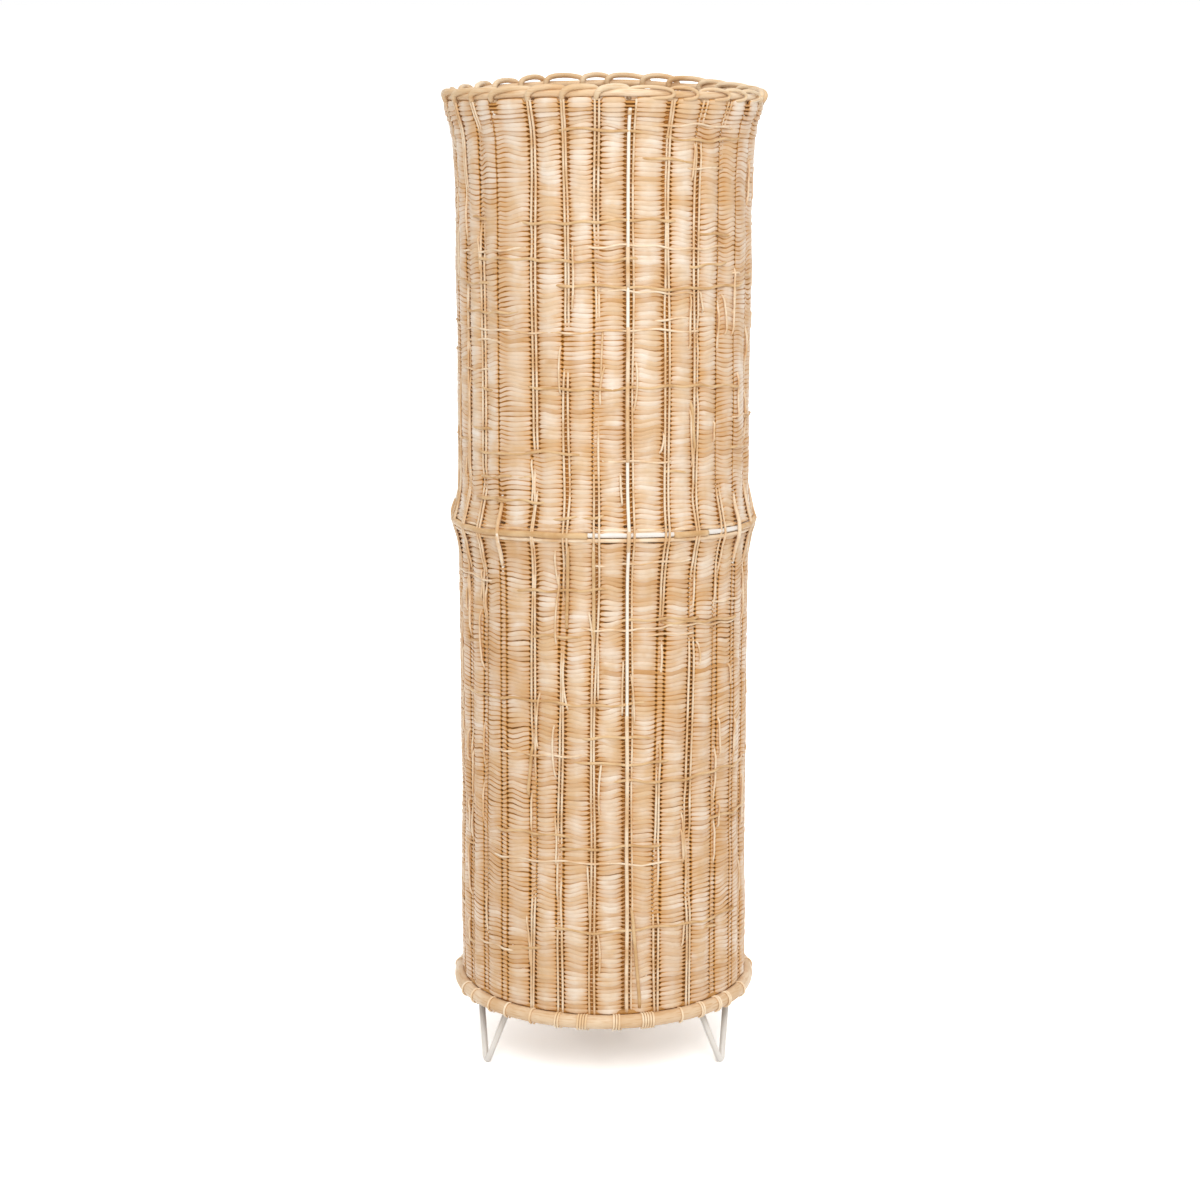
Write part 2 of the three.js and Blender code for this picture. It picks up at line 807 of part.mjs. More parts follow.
// The glass swells from the neck to the round crown, with a wall of even thickness
function glassSide(inset) {
  const start = bulbCapTop + gap;
  const radius = bulbRadius - inset;
  const neck = bulbNeckRadius - inset;
  const points = [[neck, start]];
  const swell = new THREE.CubicBezierCurve(
    new THREE.Vector2(neck, start),
    new THREE.Vector2(neck, THREE.MathUtils.lerp(start, bulbMiddle, glassNeckShare)),
    new THREE.Vector2(radius, THREE.MathUtils.lerp(start, bulbMiddle, glassBellyShare)),
    new THREE.Vector2(radius, bulbMiddle),
  );
  for (const share of glassSwellShares) {
    const { x, y } = swell.getPoint(share);
    points.push([x, y]);
  }
  for (let k = 1; k <= crownSteps; k++) {
    const angle = (k / crownSteps) * (Math.PI / 2);
    const across = k === crownSteps ? 0 : radius * Math.cos(angle);
    points.push([across, bulbMiddle + radius * Math.sin(angle)]);
  }
  return points;
}

function bulbGlass() {
  const outside = glassSide(0);
  const inside = glassSide(glassWall).reverse();
  const points = [...outside, ...inside].map(([radius, height]) => new THREE.Vector2(radius, height));
  points.unshift(points.at(-1).clone());
  const geometry = new THREE.LatheGeometry(points, glassFacets);
  geometry.rotateX(Math.PI / 2);
  return geometry;
}

function bulb() {
  addPiece("bulb_button", bulbButton(), nickel);
  addPiece("bulb_insulator", bulbInsulator(), dark);
  addPiece("bulb_screw_cap", bulbScrewCap(), nickel);
  addPiece("bulb_glass", bulbGlass(), opal);
}

addPiece("base_hoop", hoop(hoopRadius, hoopHeight, hoopCane, caneSides, hoopFacets), tan);
addPiece("rim_cane", hoop(rimCaneRadius, rimHeight, rimCane, wireSides, hoopFacets), tan);
addPiece("rim_border", border(), cane);
addPiece("weave_lower", lowerWeave(), cane);
addPiece("weave_upper", upperWeave(), cane);
straps();
const baseRing = hoop(baseRingRadius, hoopHeight, ringWire, wireSides, hoopFacets);
addPiece("frame_base_ring", baseRing, white);
const collarRing = hoop(collarRingRadius, collarHeight, collarWire, wireSides, hoopFacets);
addPiece("frame_collar_ring", collarRing, white);
uprights();
legs();
spider();
holder();
bulb();

export default lamp;
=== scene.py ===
# %% [markdown]
# # A rattan floor lamp, dressed
# The lamp is a tall woven column. Round canes, the stakes, stand in a ring, and thin canes, the weavers,
# pass behind one stake and in front of the next, some two hundred rows of them. A white steel frame holds
# the column: a ring at the foot with three hairpin legs, a ring at the collar and seven upright rods.
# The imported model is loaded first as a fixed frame, and each finer piece is built where its solid stands.

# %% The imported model
import math

import bmesh
import bpy
import numpy as np
from mathutils import Matrix, Vector


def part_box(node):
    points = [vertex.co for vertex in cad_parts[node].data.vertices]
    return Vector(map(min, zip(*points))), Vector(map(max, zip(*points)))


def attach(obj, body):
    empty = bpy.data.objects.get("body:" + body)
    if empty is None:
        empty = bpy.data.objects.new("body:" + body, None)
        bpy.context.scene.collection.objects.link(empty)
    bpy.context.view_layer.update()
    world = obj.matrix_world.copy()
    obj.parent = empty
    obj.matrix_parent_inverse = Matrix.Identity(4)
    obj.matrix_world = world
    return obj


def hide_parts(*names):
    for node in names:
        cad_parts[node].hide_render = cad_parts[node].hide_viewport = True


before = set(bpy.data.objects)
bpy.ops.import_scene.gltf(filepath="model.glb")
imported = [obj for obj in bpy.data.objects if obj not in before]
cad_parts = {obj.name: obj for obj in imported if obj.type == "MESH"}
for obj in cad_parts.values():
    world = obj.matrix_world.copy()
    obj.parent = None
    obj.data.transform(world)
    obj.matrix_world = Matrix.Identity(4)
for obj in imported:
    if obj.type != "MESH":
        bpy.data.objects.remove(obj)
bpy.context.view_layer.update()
scene = bpy.context.scene
mm = 0.001

# %% [markdown]
# ## Camera
# The picture is taken from a little above the rim, with a long lens, so that the column hardly narrows.
# The lens and the tilt were worked out from the heights of the rim, the collar, the hoop and the feet.

# %% Camera
camera_data = bpy.data.cameras.new("camera")
camera_data.lens = 81.73
camera_data.sensor_width = 36
camera_data.clip_end = 400
camera = bpy.data.objects.new("camera", camera_data)
camera.location = (-0.0039, -2.7162, 1.0871)
camera.rotation_euler = (math.radians(77.285), 0, 0)
scene.collection.objects.link(camera)
scene.camera = camera

# %% [markdown]
# ## Writing materials as sums
# A pattern is arithmetic on numbers that change over the surface. The class below wraps one output of a
# node, so that a sum or product in Python adds the Math node that does it, and a recipe stays readable.
# Every node, of whatever kind, is added by one function.

# %% Writing materials as sums


class Value:
    """A number that changes over the surface: one output of a node."""

    def __init__(self, tree, output):
        self.tree = tree
        self.output = output

    def math(self, operation, *others, clamp=False):
        settings = {"operation": operation, "use_clamp": clamp}
        sockets = dict(enumerate((self, *others)))
        return add_node(self.tree, "ShaderNodeMath", settings, sockets, 0)

    def __add__(self, other):
        return self.math("ADD", other)

    def __mul__(self, other):
        return self.math("MULTIPLY", other)

    def __sub__(self, other):
        return self.math("SUBTRACT", other)

    def __rsub__(self, other):
        return self * -1 + other

    __radd__ = __add__
    __rmul__ = __mul__

    def limited(self):
        """The same number, kept between zero and one."""
        return self.math("ADD", 0.0, clamp=True)

    def step(self, start, end):
        """Rises smoothly from zero to one between two values."""
        settings = {"interpolation_type": "SMOOTHSTEP"}
        sockets = {"Value": self, "From Min": start, "From Max": end}
        return add_node(self.tree, "ShaderNodeMapRange", settings, sockets, 0)


def feed(tree, socket, value):
    if isinstance(value, Value):
        tree.links.new(value.output, socket)
    else:
        socket.default_value = value


def add_node(tree, kind, settings, sockets, output):
    """Adds a node, makes its settings, feeds its sockets with values or links and gives one output."""
    node = tree.nodes.new(kind)
    for name, value in settings.items():
        setattr(node, name, value)
    for name, value in sockets.items():
        feed(tree, node.inputs[name], value)
    return Value(tree, node.outputs[output])


def paint(red, green, blue):
    """A colour given by its levels on screen, from 0 to 255."""
    levels = [c / 255 for c in (red, green, blue)]
    linear = [c / 12.92 if c <= 0.04045 else ((c + 0.055) / 1.055) ** 2.4 for c in levels]
    return (*linear, 1)


class Finish:
    """A material in the making."""

    def __init__(self, name, metallic=0.0):
        self.material = bpy.data.materials.new(name)
        self.material.use_nodes = True
        self.tree = self.material.node_tree
        self.shader = self.tree.nodes["Principled BSDF"]
        self.set("Metallic", metallic)

    def set(self, socket, value):
        feed(self.tree, self.shader.inputs[socket], value)

    def node(self, kind, settings, sockets, output):
        return add_node(self.tree, kind, settings, sockets, output)

    def place(self, stretch=(1, 1, 1)):
        """The place on the object in metres, drawn out by a factor along each axis."""
        here = self.node("ShaderNodeTexCoord", {}, {}, "Object")
        sockets = {0: here, 1: stretch}
        return self.node("ShaderNodeVectorMath", {"operation": "MULTIPLY"}, sockets, 0)

    def noise(self, scale, stretch=(1, 1, 1), detail=2.0):
        sockets = {"Vector": self.place(stretch), "Scale": scale, "Detail": detail, "Roughness": 0.5}
        return self.node("ShaderNodeTexNoise", {}, sockets, 0)

    def attribute(self, name):
        return self.node("ShaderNodeAttribute", {"attribute_name": name}, {}, "Fac")

    def blend(self, share, start, end):
        """A colour between two, by a share from zero to one."""
        return self.node("ShaderNodeMix", {"data_type": "RGBA"}, {0: share, 6: start, 7: end}, 2)

    def relief(self, height, strength, distance):
        sockets = {"Height": height, "Strength": strength, "Distance": distance}
        self.set("Normal", self.node("ShaderNodeBump", {}, sockets, "Normal"))


# %% [markdown]
# ## Light, floor and background
# The lamp stands in a white studio. A white world gives even light from all round, one broad lamp from
# the front adds soft gloss, and a second from above brightens the rim. The floor is a plain diffuse
# surface that is brighter and glows a little where it is seen directly, so it looks white, still takes the
# lamp's shadow and throws no extra light on the object.

# %% Light, floor and background
scene.view_settings.view_transform = "Standard"
WORLD_LEVEL = 0.72
FLOOR_WHITE = 0.8
FLOOR_SEEN = 1.82
FLOOR_GLOW = (0.215, 0.2, 0.18, 1)
FLOOR_SIZE = 150


def seen_directly(tree):
    """One where the camera, a reflection or glass sees the surface, and zero where it only gives light."""
    rays = ("Is Camera Ray", "Is Glossy Ray", "Is Transmission Ray")
    camera_ray, glossy, through = (add_node(tree, "ShaderNodeLightPath", {}, {}, ray) for ray in rays)
    return camera_ray.math("MAXIMUM", glossy).math("MAXIMUM", through)


world = bpy.data.worlds.new("studio")
world.use_nodes = True
scene.world = world
background = world.node_tree.nodes["Background"]
background.inputs["Color"].default_value = (1, 1, 1, 1)
strength = seen_directly(world.node_tree) * (1 - WORLD_LEVEL) + WORLD_LEVEL
feed(world.node_tree, background.inputs["Strength"], strength)


def add_lamp(name, place, aim, size, watts):
    data = bpy.data.lights.new(name, "AREA")
    data.size = size
    data.energy = watts
    lamp = bpy.data.objects.new(name, data)
    lamp.location = place
    lamp.rotation_euler = (Vector(aim) - Vector(place)).to_track_quat("-Z", "Y").to_euler()
    scene.collection.objects.link(lamp)


add_lamp("key", (0.2, -2.6, 2.2), (0, 0, 0.7), 1.2, 37)
add_lamp("top", (0.2, -0.6, 3.0), (0, 0, 0.6), 1.4, 14)

floor_mesh = bpy.data.meshes.new("floor")
floor_form = bmesh.new()
bmesh.ops.create_grid(floor_form, x_segments=1, y_segments=1, size=FLOOR_SIZE)
floor_form.to_mesh(floor_mesh)
floor_form.free()
floor = bpy.data.objects.new("floor", floor_mesh)
scene.collection.objects.link(floor)

floor_paint = bpy.data.materials.new("floor_paint")
floor_paint.use_nodes = True
tree = floor_paint.node_tree
tree.nodes.remove(tree.nodes["Principled BSDF"])
seen = seen_directly(tree)
white = seen * (FLOOR_SEEN - FLOOR_WHITE) + FLOOR_WHITE
diffuse = add_node(tree, "ShaderNodeBsdfDiffuse", {}, {"Color": white}, 0)
glow = add_node(tree, "ShaderNodeEmission", {}, {"Color": FLOOR_GLOW, "Strength": seen}, 0)
both = add_node(tree, "ShaderNodeAddShader", {}, {0: diffuse, 1: glow}, 0)
feed(tree, tree.nodes["Material Output"].inputs["Surface"], both)
floor_mesh.materials.append(floor_paint)

# %% [markdown]
# ## Cane
# Rattan is a vine: pale straw, warmer where it was bent, with fine grain along it and a soft gloss. All
# the canes share one recipe. Each weaver also carries two numbers in its mesh: its own tone, and how deep
# a point lies in the furrow between two rows, where the shade that falls there is painted in brown.

# %% Cane
STRAW = (243, 230, 213)
HONEY = (219, 183, 138)
TOASTED = paint(186, 132, 70)
BLEACHED = paint(253, 247, 240)
# Painted shade: brown for the furrows between rows, dark brown for the holes beside the stakes.
ROW_SHADE = paint(206, 149, 80)
HOLE_SHADE = paint(152, 97, 36)
# Painted shade for the splints' outer face, seen through the holes beside the stakes.
SPLINT_SHADE = paint(182, 120, 50)
CANE_GLOSS = 0.25
CANE_ROUGHNESS = 0.42


def cane_finish(name, pale, warm, spots=40.0):
    """The recipe of all canes: a material in the making, and its colour so far."""
    pale, warm = paint(*pale), paint(*warm)
    finish = Finish(name)
    blotch = finish.noise(spots, detail=3.0).step(0.35, 0.68)
    grain = finish.noise(90.0, stretch=(1, 1, 9), detail=2.0).step(0.3, 0.75)
    colour = finish.blend(blotch * 0.75, pale, warm)
    colour = finish.blend(grain * 0.25, colour, warm)
    finish.shader.inputs["Specular IOR Level"].default_value = CANE_GLOSS
    finish.relief(grain, 0.25, 0.0004)
    finish.set("Roughness", blotch * 0.12 + (CANE_ROUGHNESS - 0.06))
    return finish, colour


def weaver_finish():
    finish, colour = cane_finish("weaver_cane", STRAW, HONEY)
    tone = finish.attribute("tone")
    furrow = finish.attribute("furrow")
    patch = finish.noise(18.0, stretch=(1, 1, 1.6), detail=3.0).step(0.42, 0.62)
    colour = finish.blend(patch * 0.4, colour, paint(*HONEY))
    colour = finish.blend(tone.limited(), colour, TOASTED)
    colour = finish.blend((tone * -1).limited(), colour, BLEACHED)
    # Painted shade: brown in the furrows between rows, dark brown at the holes beside the stakes.
    colour = finish.blend((furrow * 2).limited(), colour, ROW_SHADE)
    colour = finish.blend((furrow * 2 - 1).limited(), colour, HOLE_SHADE)
    finish.set("Base Color", colour)
    return finish.material


def plain_cane(name, pale, warm, **settings):
    finish, colour = cane_finish(name, pale, warm, **settings)
    finish.set("Base Color", colour)
    return finish.material


def splint_finish():
    finish, colour = cane_finish("splint_cane", (232, 204, 166), (206, 162, 112))
    # The outer face is painted dark brown as the shade in the holes, the inner face keeps the cane colour.
    finish.set("Base Color", finish.blend(finish.attribute("bark"), colour, SPLINT_SHADE))
    return finish.material


weaver_cane = weaver_finish()
splint_cane = splint_finish()
stake_cane = plain_cane("stake_cane", (242, 222, 194), (212, 164, 106), spots=44.0)
inner_cane = plain_cane("inner_cane", (232, 204, 166), (206, 162, 112))
foot_shade_cane = plain_cane("foot_shade_cane", (192, 142, 80), (160, 110, 52))
binder_cane = plain_cane("binder_cane", (224, 191, 146), (190, 143, 88), spots=44.0)
strap_cane = plain_cane("strap_cane", (252, 234, 206), (226, 184, 130))


def thick_cane(name, pale, warm):
    """A hoop or arch: the skin is mottled in lengths, and long fibres run round the lamp."""
    finish, colour = cane_finish(name, pale, warm, spots=20.0)
    stain = finish.noise(9.0, detail=4.0).step(0.46, 0.7)
    fibre = finish.noise(60.0, stretch=(1, 1, 12), detail=3.0).step(0.5, 0.66)
    colour = finish.blend(stain * 0.6, colour, paint(204, 158, 104))
    colour = finish.blend(fibre * 0.4, colour, paint(196, 146, 90))
    finish.set("Base Color", colour)
    return finish.material


border_cane = thick_cane("border_cane", (234, 212, 180), (208, 171, 125))
hoop_cane = thick_cane("hoop_cane", (237, 214, 184), (213, 175, 129))

# %% [markdown]
# ## Steel, plastic, glass and brass
# The frame is steel wire under white powder paint, which has a faint orange-peel skin. The bulb holder is
# moulded white plastic. The bulb is opal glass on a plain metal screw cap, and the contacts are brass.

# %% Steel, plastic, glass and brass


def skin_finish(name, colour, worn, roughness, scale, depth, metallic=0.0):
    finish = Finish(name, metallic)
    skin = finish.noise(scale, detail=2.0)
    patch = finish.noise(scale * 0.04, detail=3.0).step(0.35, 0.75)
    finish.set("Base Color", finish.blend(patch * 0.6, paint(*colour), paint(*worn)))
    finish.set("Roughness", patch * 0.14 + (roughness - 0.07))
    finish.relief(skin, 0.3, depth)
    return finish.material


white_rod = skin_finish("white_rod", (246, 237, 222), (238, 224, 202), 0.38, 900.0, 0.0002)
white_steel = skin_finish("white_steel", (238, 232, 224), (224, 216, 206), 0.38, 900.0, 0.0002)
holder_plastic = skin_finish("holder_plastic", (232, 230, 225), (222, 218, 210), 0.42, 1400.0, 0.0001)
black_plastic = skin_finish("black_plastic", (44, 43, 42), (58, 56, 54), 0.5, 1400.0, 0.0001)
ceramic = skin_finish("ceramic", (236, 233, 226), (224, 219, 208), 0.3, 500.0, 0.0001)
brass = skin_finish("brass", (214, 178, 98), (176, 136, 66), 0.3, 700.0, 0.0001, 1.0)
bulb_metal = skin_finish("bulb_metal", (196, 196, 194), (160, 158, 154), 0.28, 600.0, 0.0001, 1.0)
opal_glass = skin_finish("opal_glass", (246, 244, 240), (238, 235, 228), 0.2, 200.0, 0.00005)

# %% [markdown]
# ## Where a thing stands on the column
# A place on the column is a turn in degrees from the front, a radius and a height in millimetres. The lamp
# is hand made: its collar and its rim stand up to ten millimetres higher at the front and back than at
# the sides.

# %% Where a thing stands on the column
COLUMNS = 28
FIRST_TURN = 9.0
PITCH = 360 / COLUMNS
COLLAR = 561.6
RIM = 981.5
HAND_LIFT = 10.0
RIM_LIFT = 9.0
HOOP_RADIUS = 149.6
HOOP_HEIGHT = 75.0
HOOP_CANE = 14.0
RING_RADIUS = 133.35
RING_WIRE = 6.5


def lift(turn, height):
    """How far the column is raised at a turn and height, most at the front and back of the collar."""
    still = HOOP_HEIGHT + HOOP_CANE
    low = np.clip((height - still) / (COLLAR - still), 0, 1) * HAND_LIFT
    high = HAND_LIFT - (HAND_LIFT - RIM_LIFT) * (height - COLLAR) / (RIM - COLLAR)
    return np.where(height < COLLAR, low, high) * np.cos(np.radians(turn)) ** 2


def spot(turn, radius, height):
    """The point in metres at a turn in degrees and at a radius and side height in millimetres."""
    angle = np.radians(turn)
    rise = height + lift(turn, height)
    return np.stack([np.sin(angle) * radius, -np.cos(angle) * radius, rise], axis=-1) * mm


# %% [markdown]
# The wall swells at the collar and opens at the mouth. Its outer face is highest half way between two
# stakes, where a weaver passes over a hidden one, and dips behind each stake that shows. The dip is deep
# at the steel rods that show, half as deep at stakes of cane, and there is none at the two rods that are
# buried in the weave. At the collar ring it turns into a bulge, because the stakes step out over the ring.

# %% The woven wall's face
WALL_HEIGHTS = [83.8, 300, 512, 530, 558.8, 564.4, 592, 612, 900, 940, 958, 968, 978]
WALL_CRESTS = [149, 147.2, 147.2, 147.9, 149.7, 149.7, 147.7, 147.2, 147.2, 149.4, 152.6, 156.3, 157.8]
WALL_DIPS = [5.4, 5.4, 5.4, 3.9, -2.7, -2.7, 4.2, 5.4, 5.4, 5.4, 5.4, 3.4, 3.0]
CANE_DIP = 0.5
ROD_EVERY = 4
BURIED_RODS = [4, 24]


def has_rod(column):
    return column % ROD_EVERY == 0


def wall_face(height, place):
    """The wall's outer face at a height and at a place, counted in columns from the first rod."""
    crest = np.interp(height, WALL_HEIGHTS, WALL_CRESTS)
    dip = np.interp(height, WALL_HEIGHTS, WALL_DIPS)
    column = np.round(place) % COLUMNS
    depth = np.where(has_rod(column), np.where(np.isin(column, BURIED_RODS), 0, 1), CANE_DIP)
    return crest - dip * np.where(dip < 0, 1, depth) * np.cos(np.pi * place) ** 2


# %% [markdown]
# No two columns of the real weave run quite straight. Each stake that shows drifts a little sideways on
# its way up, by a share of the space between two stakes that was read off the lamp for those in front.
# The steel rods stand straight. The drift is worked out once for a table of heights, and read from there.

# %% How the stakes drift
FRONT_STAKES = [21, 22, 23, 25, 26, 27, 1, 2, 3, 5, 6]
LOW_DRIFTS = [0.07, 0.09, 0.02, 0.05, -0.06, -0.05, -0.07, 0.02, 0.11, -0.12, -0.19]
HIGH_DRIFTS = [0.18, 0.19, 0.16, 0.19, 0.19, 0.09, 0.19, 0.2, 0.19, 0.09, 0.02]
LOW_SHARES = dict(zip(FRONT_STAKES, LOW_DRIFTS))
HIGH_SHARES = dict(zip(FRONT_STAKES, HIGH_DRIFTS))
HIDDEN_SHARE = 0.1
DRIFT_HEIGHTS = [300, 600]
PHASES = (0, 6.28)


def drift(column, height):
    """How far a stake has drifted at a height, in degrees."""
    if has_rod(column):
        return np.zeros_like(height)
    draw = np.random.default_rng(100 + column)
    low = LOW_SHARES.get(column, HIDDEN_SHARE * math.sin(2 * column))
    high = HIGH_SHARES.get(column, HIDDEN_SHARE * math.sin(3 * column))
    waver = 0.3 * np.sin(height / draw.uniform(38, 60) + draw.uniform(0, 6))
    return np.interp(height, DRIFT_HEIGHTS, [low * PITCH, high * PITCH]) + waver


TABLE_HEIGHTS = np.linspace(60, 1010, 96)
DRIFTS = np.array([drift(column, TABLE_HEIGHTS) for column in range(COLUMNS)])


def read_table(table, column, height):
    """The value of a table of columns by heights, between its entries."""
    place = (height - TABLE_HEIGHTS[0]) / (TABLE_HEIGHTS[1] - TABLE_HEIGHTS[0])
    low = np.clip(np.floor(place).astype(int), 0, len(TABLE_HEIGHTS) - 2)
    part = np.clip(place - low, 0, 1)
    row = np.asarray(column) % COLUMNS
    return table[row, low] * (1 - part) + table[row, low + 1] * part


def stake_turn(column, height):
    return FIRST_TURN + column * PITCH + read_table(DRIFTS, column, height)


def place_at(turn, height):
    """The place of a turn in degrees, counted in columns between the stakes where they really stand."""
    place = (turn - FIRST_TURN) / PITCH
    for _ in range(2):
        column = np.floor(place).astype(int)
        start, end = stake_turn(column, height), stake_turn(column + 1, height)
        place = column + (turn - start) / (end - start)
    return place


# %% [markdown]
# In some stretches the rows run over a stake too, so that only the small holes beside it are left of it.
# At the left and right of the lamp they do so nearly everywhere, and two of the rods are buried like that.
# At the collar and at the rim every stake comes out again.

# %% Where the rows run over a stake
OVER_LOW = [3, 4, 5, 6, 10, 13, 17, 21, 22, 23, 24]
OVER_HIGH = [3, 4, 5, 6, 11, 15, 24]
OVER_LENGTHS = (60, 150)
OVER_STARTS = (100, 930)
COLLAR_CLEAR = (30, 46)
RIM_CLEAR = (962, 972)


def eased(value, start, end):
    """Rises smoothly from zero to one between two values."""
    part = np.clip((value - start) / (end - start), 0, 1)
    return part * part * (3 - 2 * part)


def stretches(draw, height, lengths, count=3):
    """One along a few stretches of the column's height, and zero between them."""
    inside = np.zeros_like(height)
    for start in draw.uniform(*OVER_STARTS, count):
        part = (height - start) / draw.uniform(*lengths)
        inside = np.maximum(inside, eased(part, 0, 0.2) * (1 - eased(part, 0.8, 1)))
    return inside


def over_share(column, height):
    """One where the rows run over a stake, and zero where it shows."""
    if has_rod(column) and column not in BURIED_RODS:
        return np.zeros_like(height)
    share = stretches(np.random.default_rng(800 + column), height, OVER_LENGTHS)
    share = np.maximum(share, (column in OVER_LOW) * (height < COLLAR))
    share = np.maximum(share, (column in OVER_HIGH) * (height > COLLAR))
    return share * eased(np.abs(height - COLLAR), *COLLAR_CLEAR) * (1 - eased(height, *RIM_CLEAR))


OVERS = np.array([over_share(column, TABLE_HEIGHTS) for column in range(COLUMNS)])


def runs_over(column, height):
    return read_table(OVERS, column, height)


# %% [markdown]
# ## Making a piece
# Every piece ends the same way: its mesh goes into an object at the origin, gets a finish, and rides on
# a body of the lamp. Where it stands for one of the imported solids, that solid is hidden.


def add_piece(name, mesh, material, body="lamp", replaces=()):
    mesh.name = name
    mesh.materials.clear()
    mesh.materials.append(material)
    mesh.shade_smooth()
    piece = bpy.data.objects.new(name, mesh)
    scene.collection.objects.link(piece)
    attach(piece, body)
    if replaces:
        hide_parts(*replaces)
    print(name + ":", len(mesh.polygons), "faces")


def finished(form, name):
    mesh = bpy.data.meshes.new(name)
    form.to_mesh(mesh)
    form.free()
    return mesh


def keep_numbers(mesh, **numbers):
    """Keeps numbers in the mesh, one for each point, which a finish reads by their names."""
    for label, values in numbers.items():
        attribute = mesh.attributes.new(label, "FLOAT", "POINT")
        attribute.data.foreach_set("value", np.array(values, np.float32))


def spin_round(form, steps):
    """Turns all that is in the bmesh once round the upright axis, and merges the ends."""
    bmesh.ops.spin(
        form,
        geom=form.verts[:] + form.edges[:],
        cent=(0, 0, 0),
        axis=(0, 0, 1),
        angle=2 * math.pi,
        steps=steps,
        use_merge=True,
    )


def add_profile(form, sides, radius, out, height):
    """A round profile that stands upright, facing the way a spin will carry it."""
    verts = bmesh.ops.create_circle(form, segments=sides, radius=radius)["verts"]
    bmesh.ops.rotate(form, verts=verts, matrix=Matrix.Rotation(math.pi / 2, 3, "X"))
    bmesh.ops.rotate(form, verts=verts, matrix=Matrix.Rotation(-math.pi / 2, 3, "Z"))
    bmesh.ops.translate(form, verts=verts, vec=(0, -out, height))


# %% [markdown]
# ## The weavers
# One row of the weave is a hoop of cane. `create_circle` gives a stack of small profiles and one full
# `spin` turns them all into plain hoops at once. Then every point is moved to its place in the weave:
# in and out past the stakes, thin behind a stake and full between two, where the rows press together.
# Moving points after the spin keeps the joints of the mesh, so no faces are listed by hand.

# %% The weavers
STEPS_A_COLUMN = 10
STEP_SHARES = [0, 0.06, 0.12, 0.18, 0.32, 0.5, 0.68, 0.82, 0.88, 0.94, 1]
PROFILE_SIDES = 6
DRAWN_RADIUS = 100.0
DRAWN_SPACE = 4.0
ROW_SPACE = 4.3


def stack_of_hoops(rows):
    form = bmesh.new()
    for row in range(rows):
        add_profile(form, PROFILE_SIDES, 1, DRAWN_RADIUS, row * DRAWN_SPACE)
    spin_round(form, COLUMNS * STEPS_A_COLUMN)
    return finished(form, "hoops")


def drawn_places(mesh):
    """Row, column and share of the way to the next stake of each point, and its place on the profile."""
    points = np.empty(len(mesh.vertices) * 3, np.float32)
    mesh.vertices.foreach_get("co", points)
    x, y, z = points.reshape(-1, 3).T.astype(float)
    row = np.round(z / DRAWN_SPACE).astype(int)
    position = (np.degrees(np.arctan2(x, -y)) % 360) / PITCH
    column = np.floor(position + 1e-4).astype(int)
    share = np.interp(position - column, np.linspace(0, 1, STEPS_A_COLUMN + 1), STEP_SHARES)
    return row, column, share, np.hypot(x, y) - DRAWN_RADIUS, z - row * DRAWN_SPACE


# %% [markdown]
# Nothing in the weave is even. One helper gives a slow unevenness over the whole wall, one lets the rows
# sag or slant between two stakes, and one gives every length of cane in a row its own tone.

# %% Unevenness
RIPPLE_WAVES = 6
BAY_PACES = (11, 28)
BOWS = (1.9, 1.0)
SLANTS = (1.2, 0.7)
STEADY_FOOT, STEADY_TOP = (90, 30), (972, 20)
TONE_SPREAD = 0.09
DARK_SHARE = 0.08
DARK_TONES = (0.15, 0.35)


def ripple(turn, height, seed):
    """A gentle unevenness of about one, alike for neighbouring rows."""
    draw = np.random.default_rng(seed)
    total = 0
    for _ in range(RIPPLE_WAVES):
        around = draw.integers(1, 9)
        up = draw.uniform(0.01, 0.07)
        total = total + np.sin(np.radians(turn) * around + height * up + draw.uniform(*PHASES))
    return total / math.sqrt(RIPPLE_WAVES)


def bay_rise(column, share, height):
    """How far the rows of one bay sag, rise or slant between its two stakes, in millimetres."""
    draw = np.random.default_rng(51)
    pace = draw.uniform(*BAY_PACES, (4, COLUMNS))[:, column % COLUMNS]
    phase = draw.uniform(*PHASES, (4, COLUMNS))[:, column % COLUMNS]
    waves = np.sin(height / pace + phase)
    bow = BOWS[0] * waves[0] + BOWS[1] * waves[1]
    slant = SLANTS[0] * waves[2] + SLANTS[1] * waves[3]
    return bow * np.sin(np.pi * share) + slant * np.sin(2 * np.pi * share)


def real_level(column, share, turn, height, own):
    """The height at which a weaver really runs, up and down, but steady close to the foot and the rim."""
    waver = ripple(turn, height, 7) * 0.9 + ripple(turn * 4, height * 2, 8) * 0.45
    waver = waver + bay_rise(column, share, height) + (own - 0.5) * 0.8 * np.sin(np.pi * share)
    steady = np.clip((height - STEADY_FOOT[0]) / STEADY_FOOT[1], 0, 1)
    calm = np.clip((STEADY_TOP[0] - height) / STEADY_TOP[1], 0, 1)
    return height + waver * steady * calm


def row_tones(row, turn, rows, seed):
    """Each row is three lengths of cane with their own tones, and a few of them are dark."""
    draw = np.random.default_rng(seed)
    joins = np.sort(draw.uniform(0, 360, (rows, 2)), axis=1)
    tones = draw.normal(0, TONE_SPREAD, (rows, 3))
    dark = draw.uniform(0, 1, (rows, 3)) < DARK_SHARE
    tones = tones + dark * draw.uniform(*DARK_TONES, (rows, 3))
    part = (turn % 360 > joins[row, 0]).astype(int) + (turn % 360 > joins[row, 1])
    return tones[row, part]
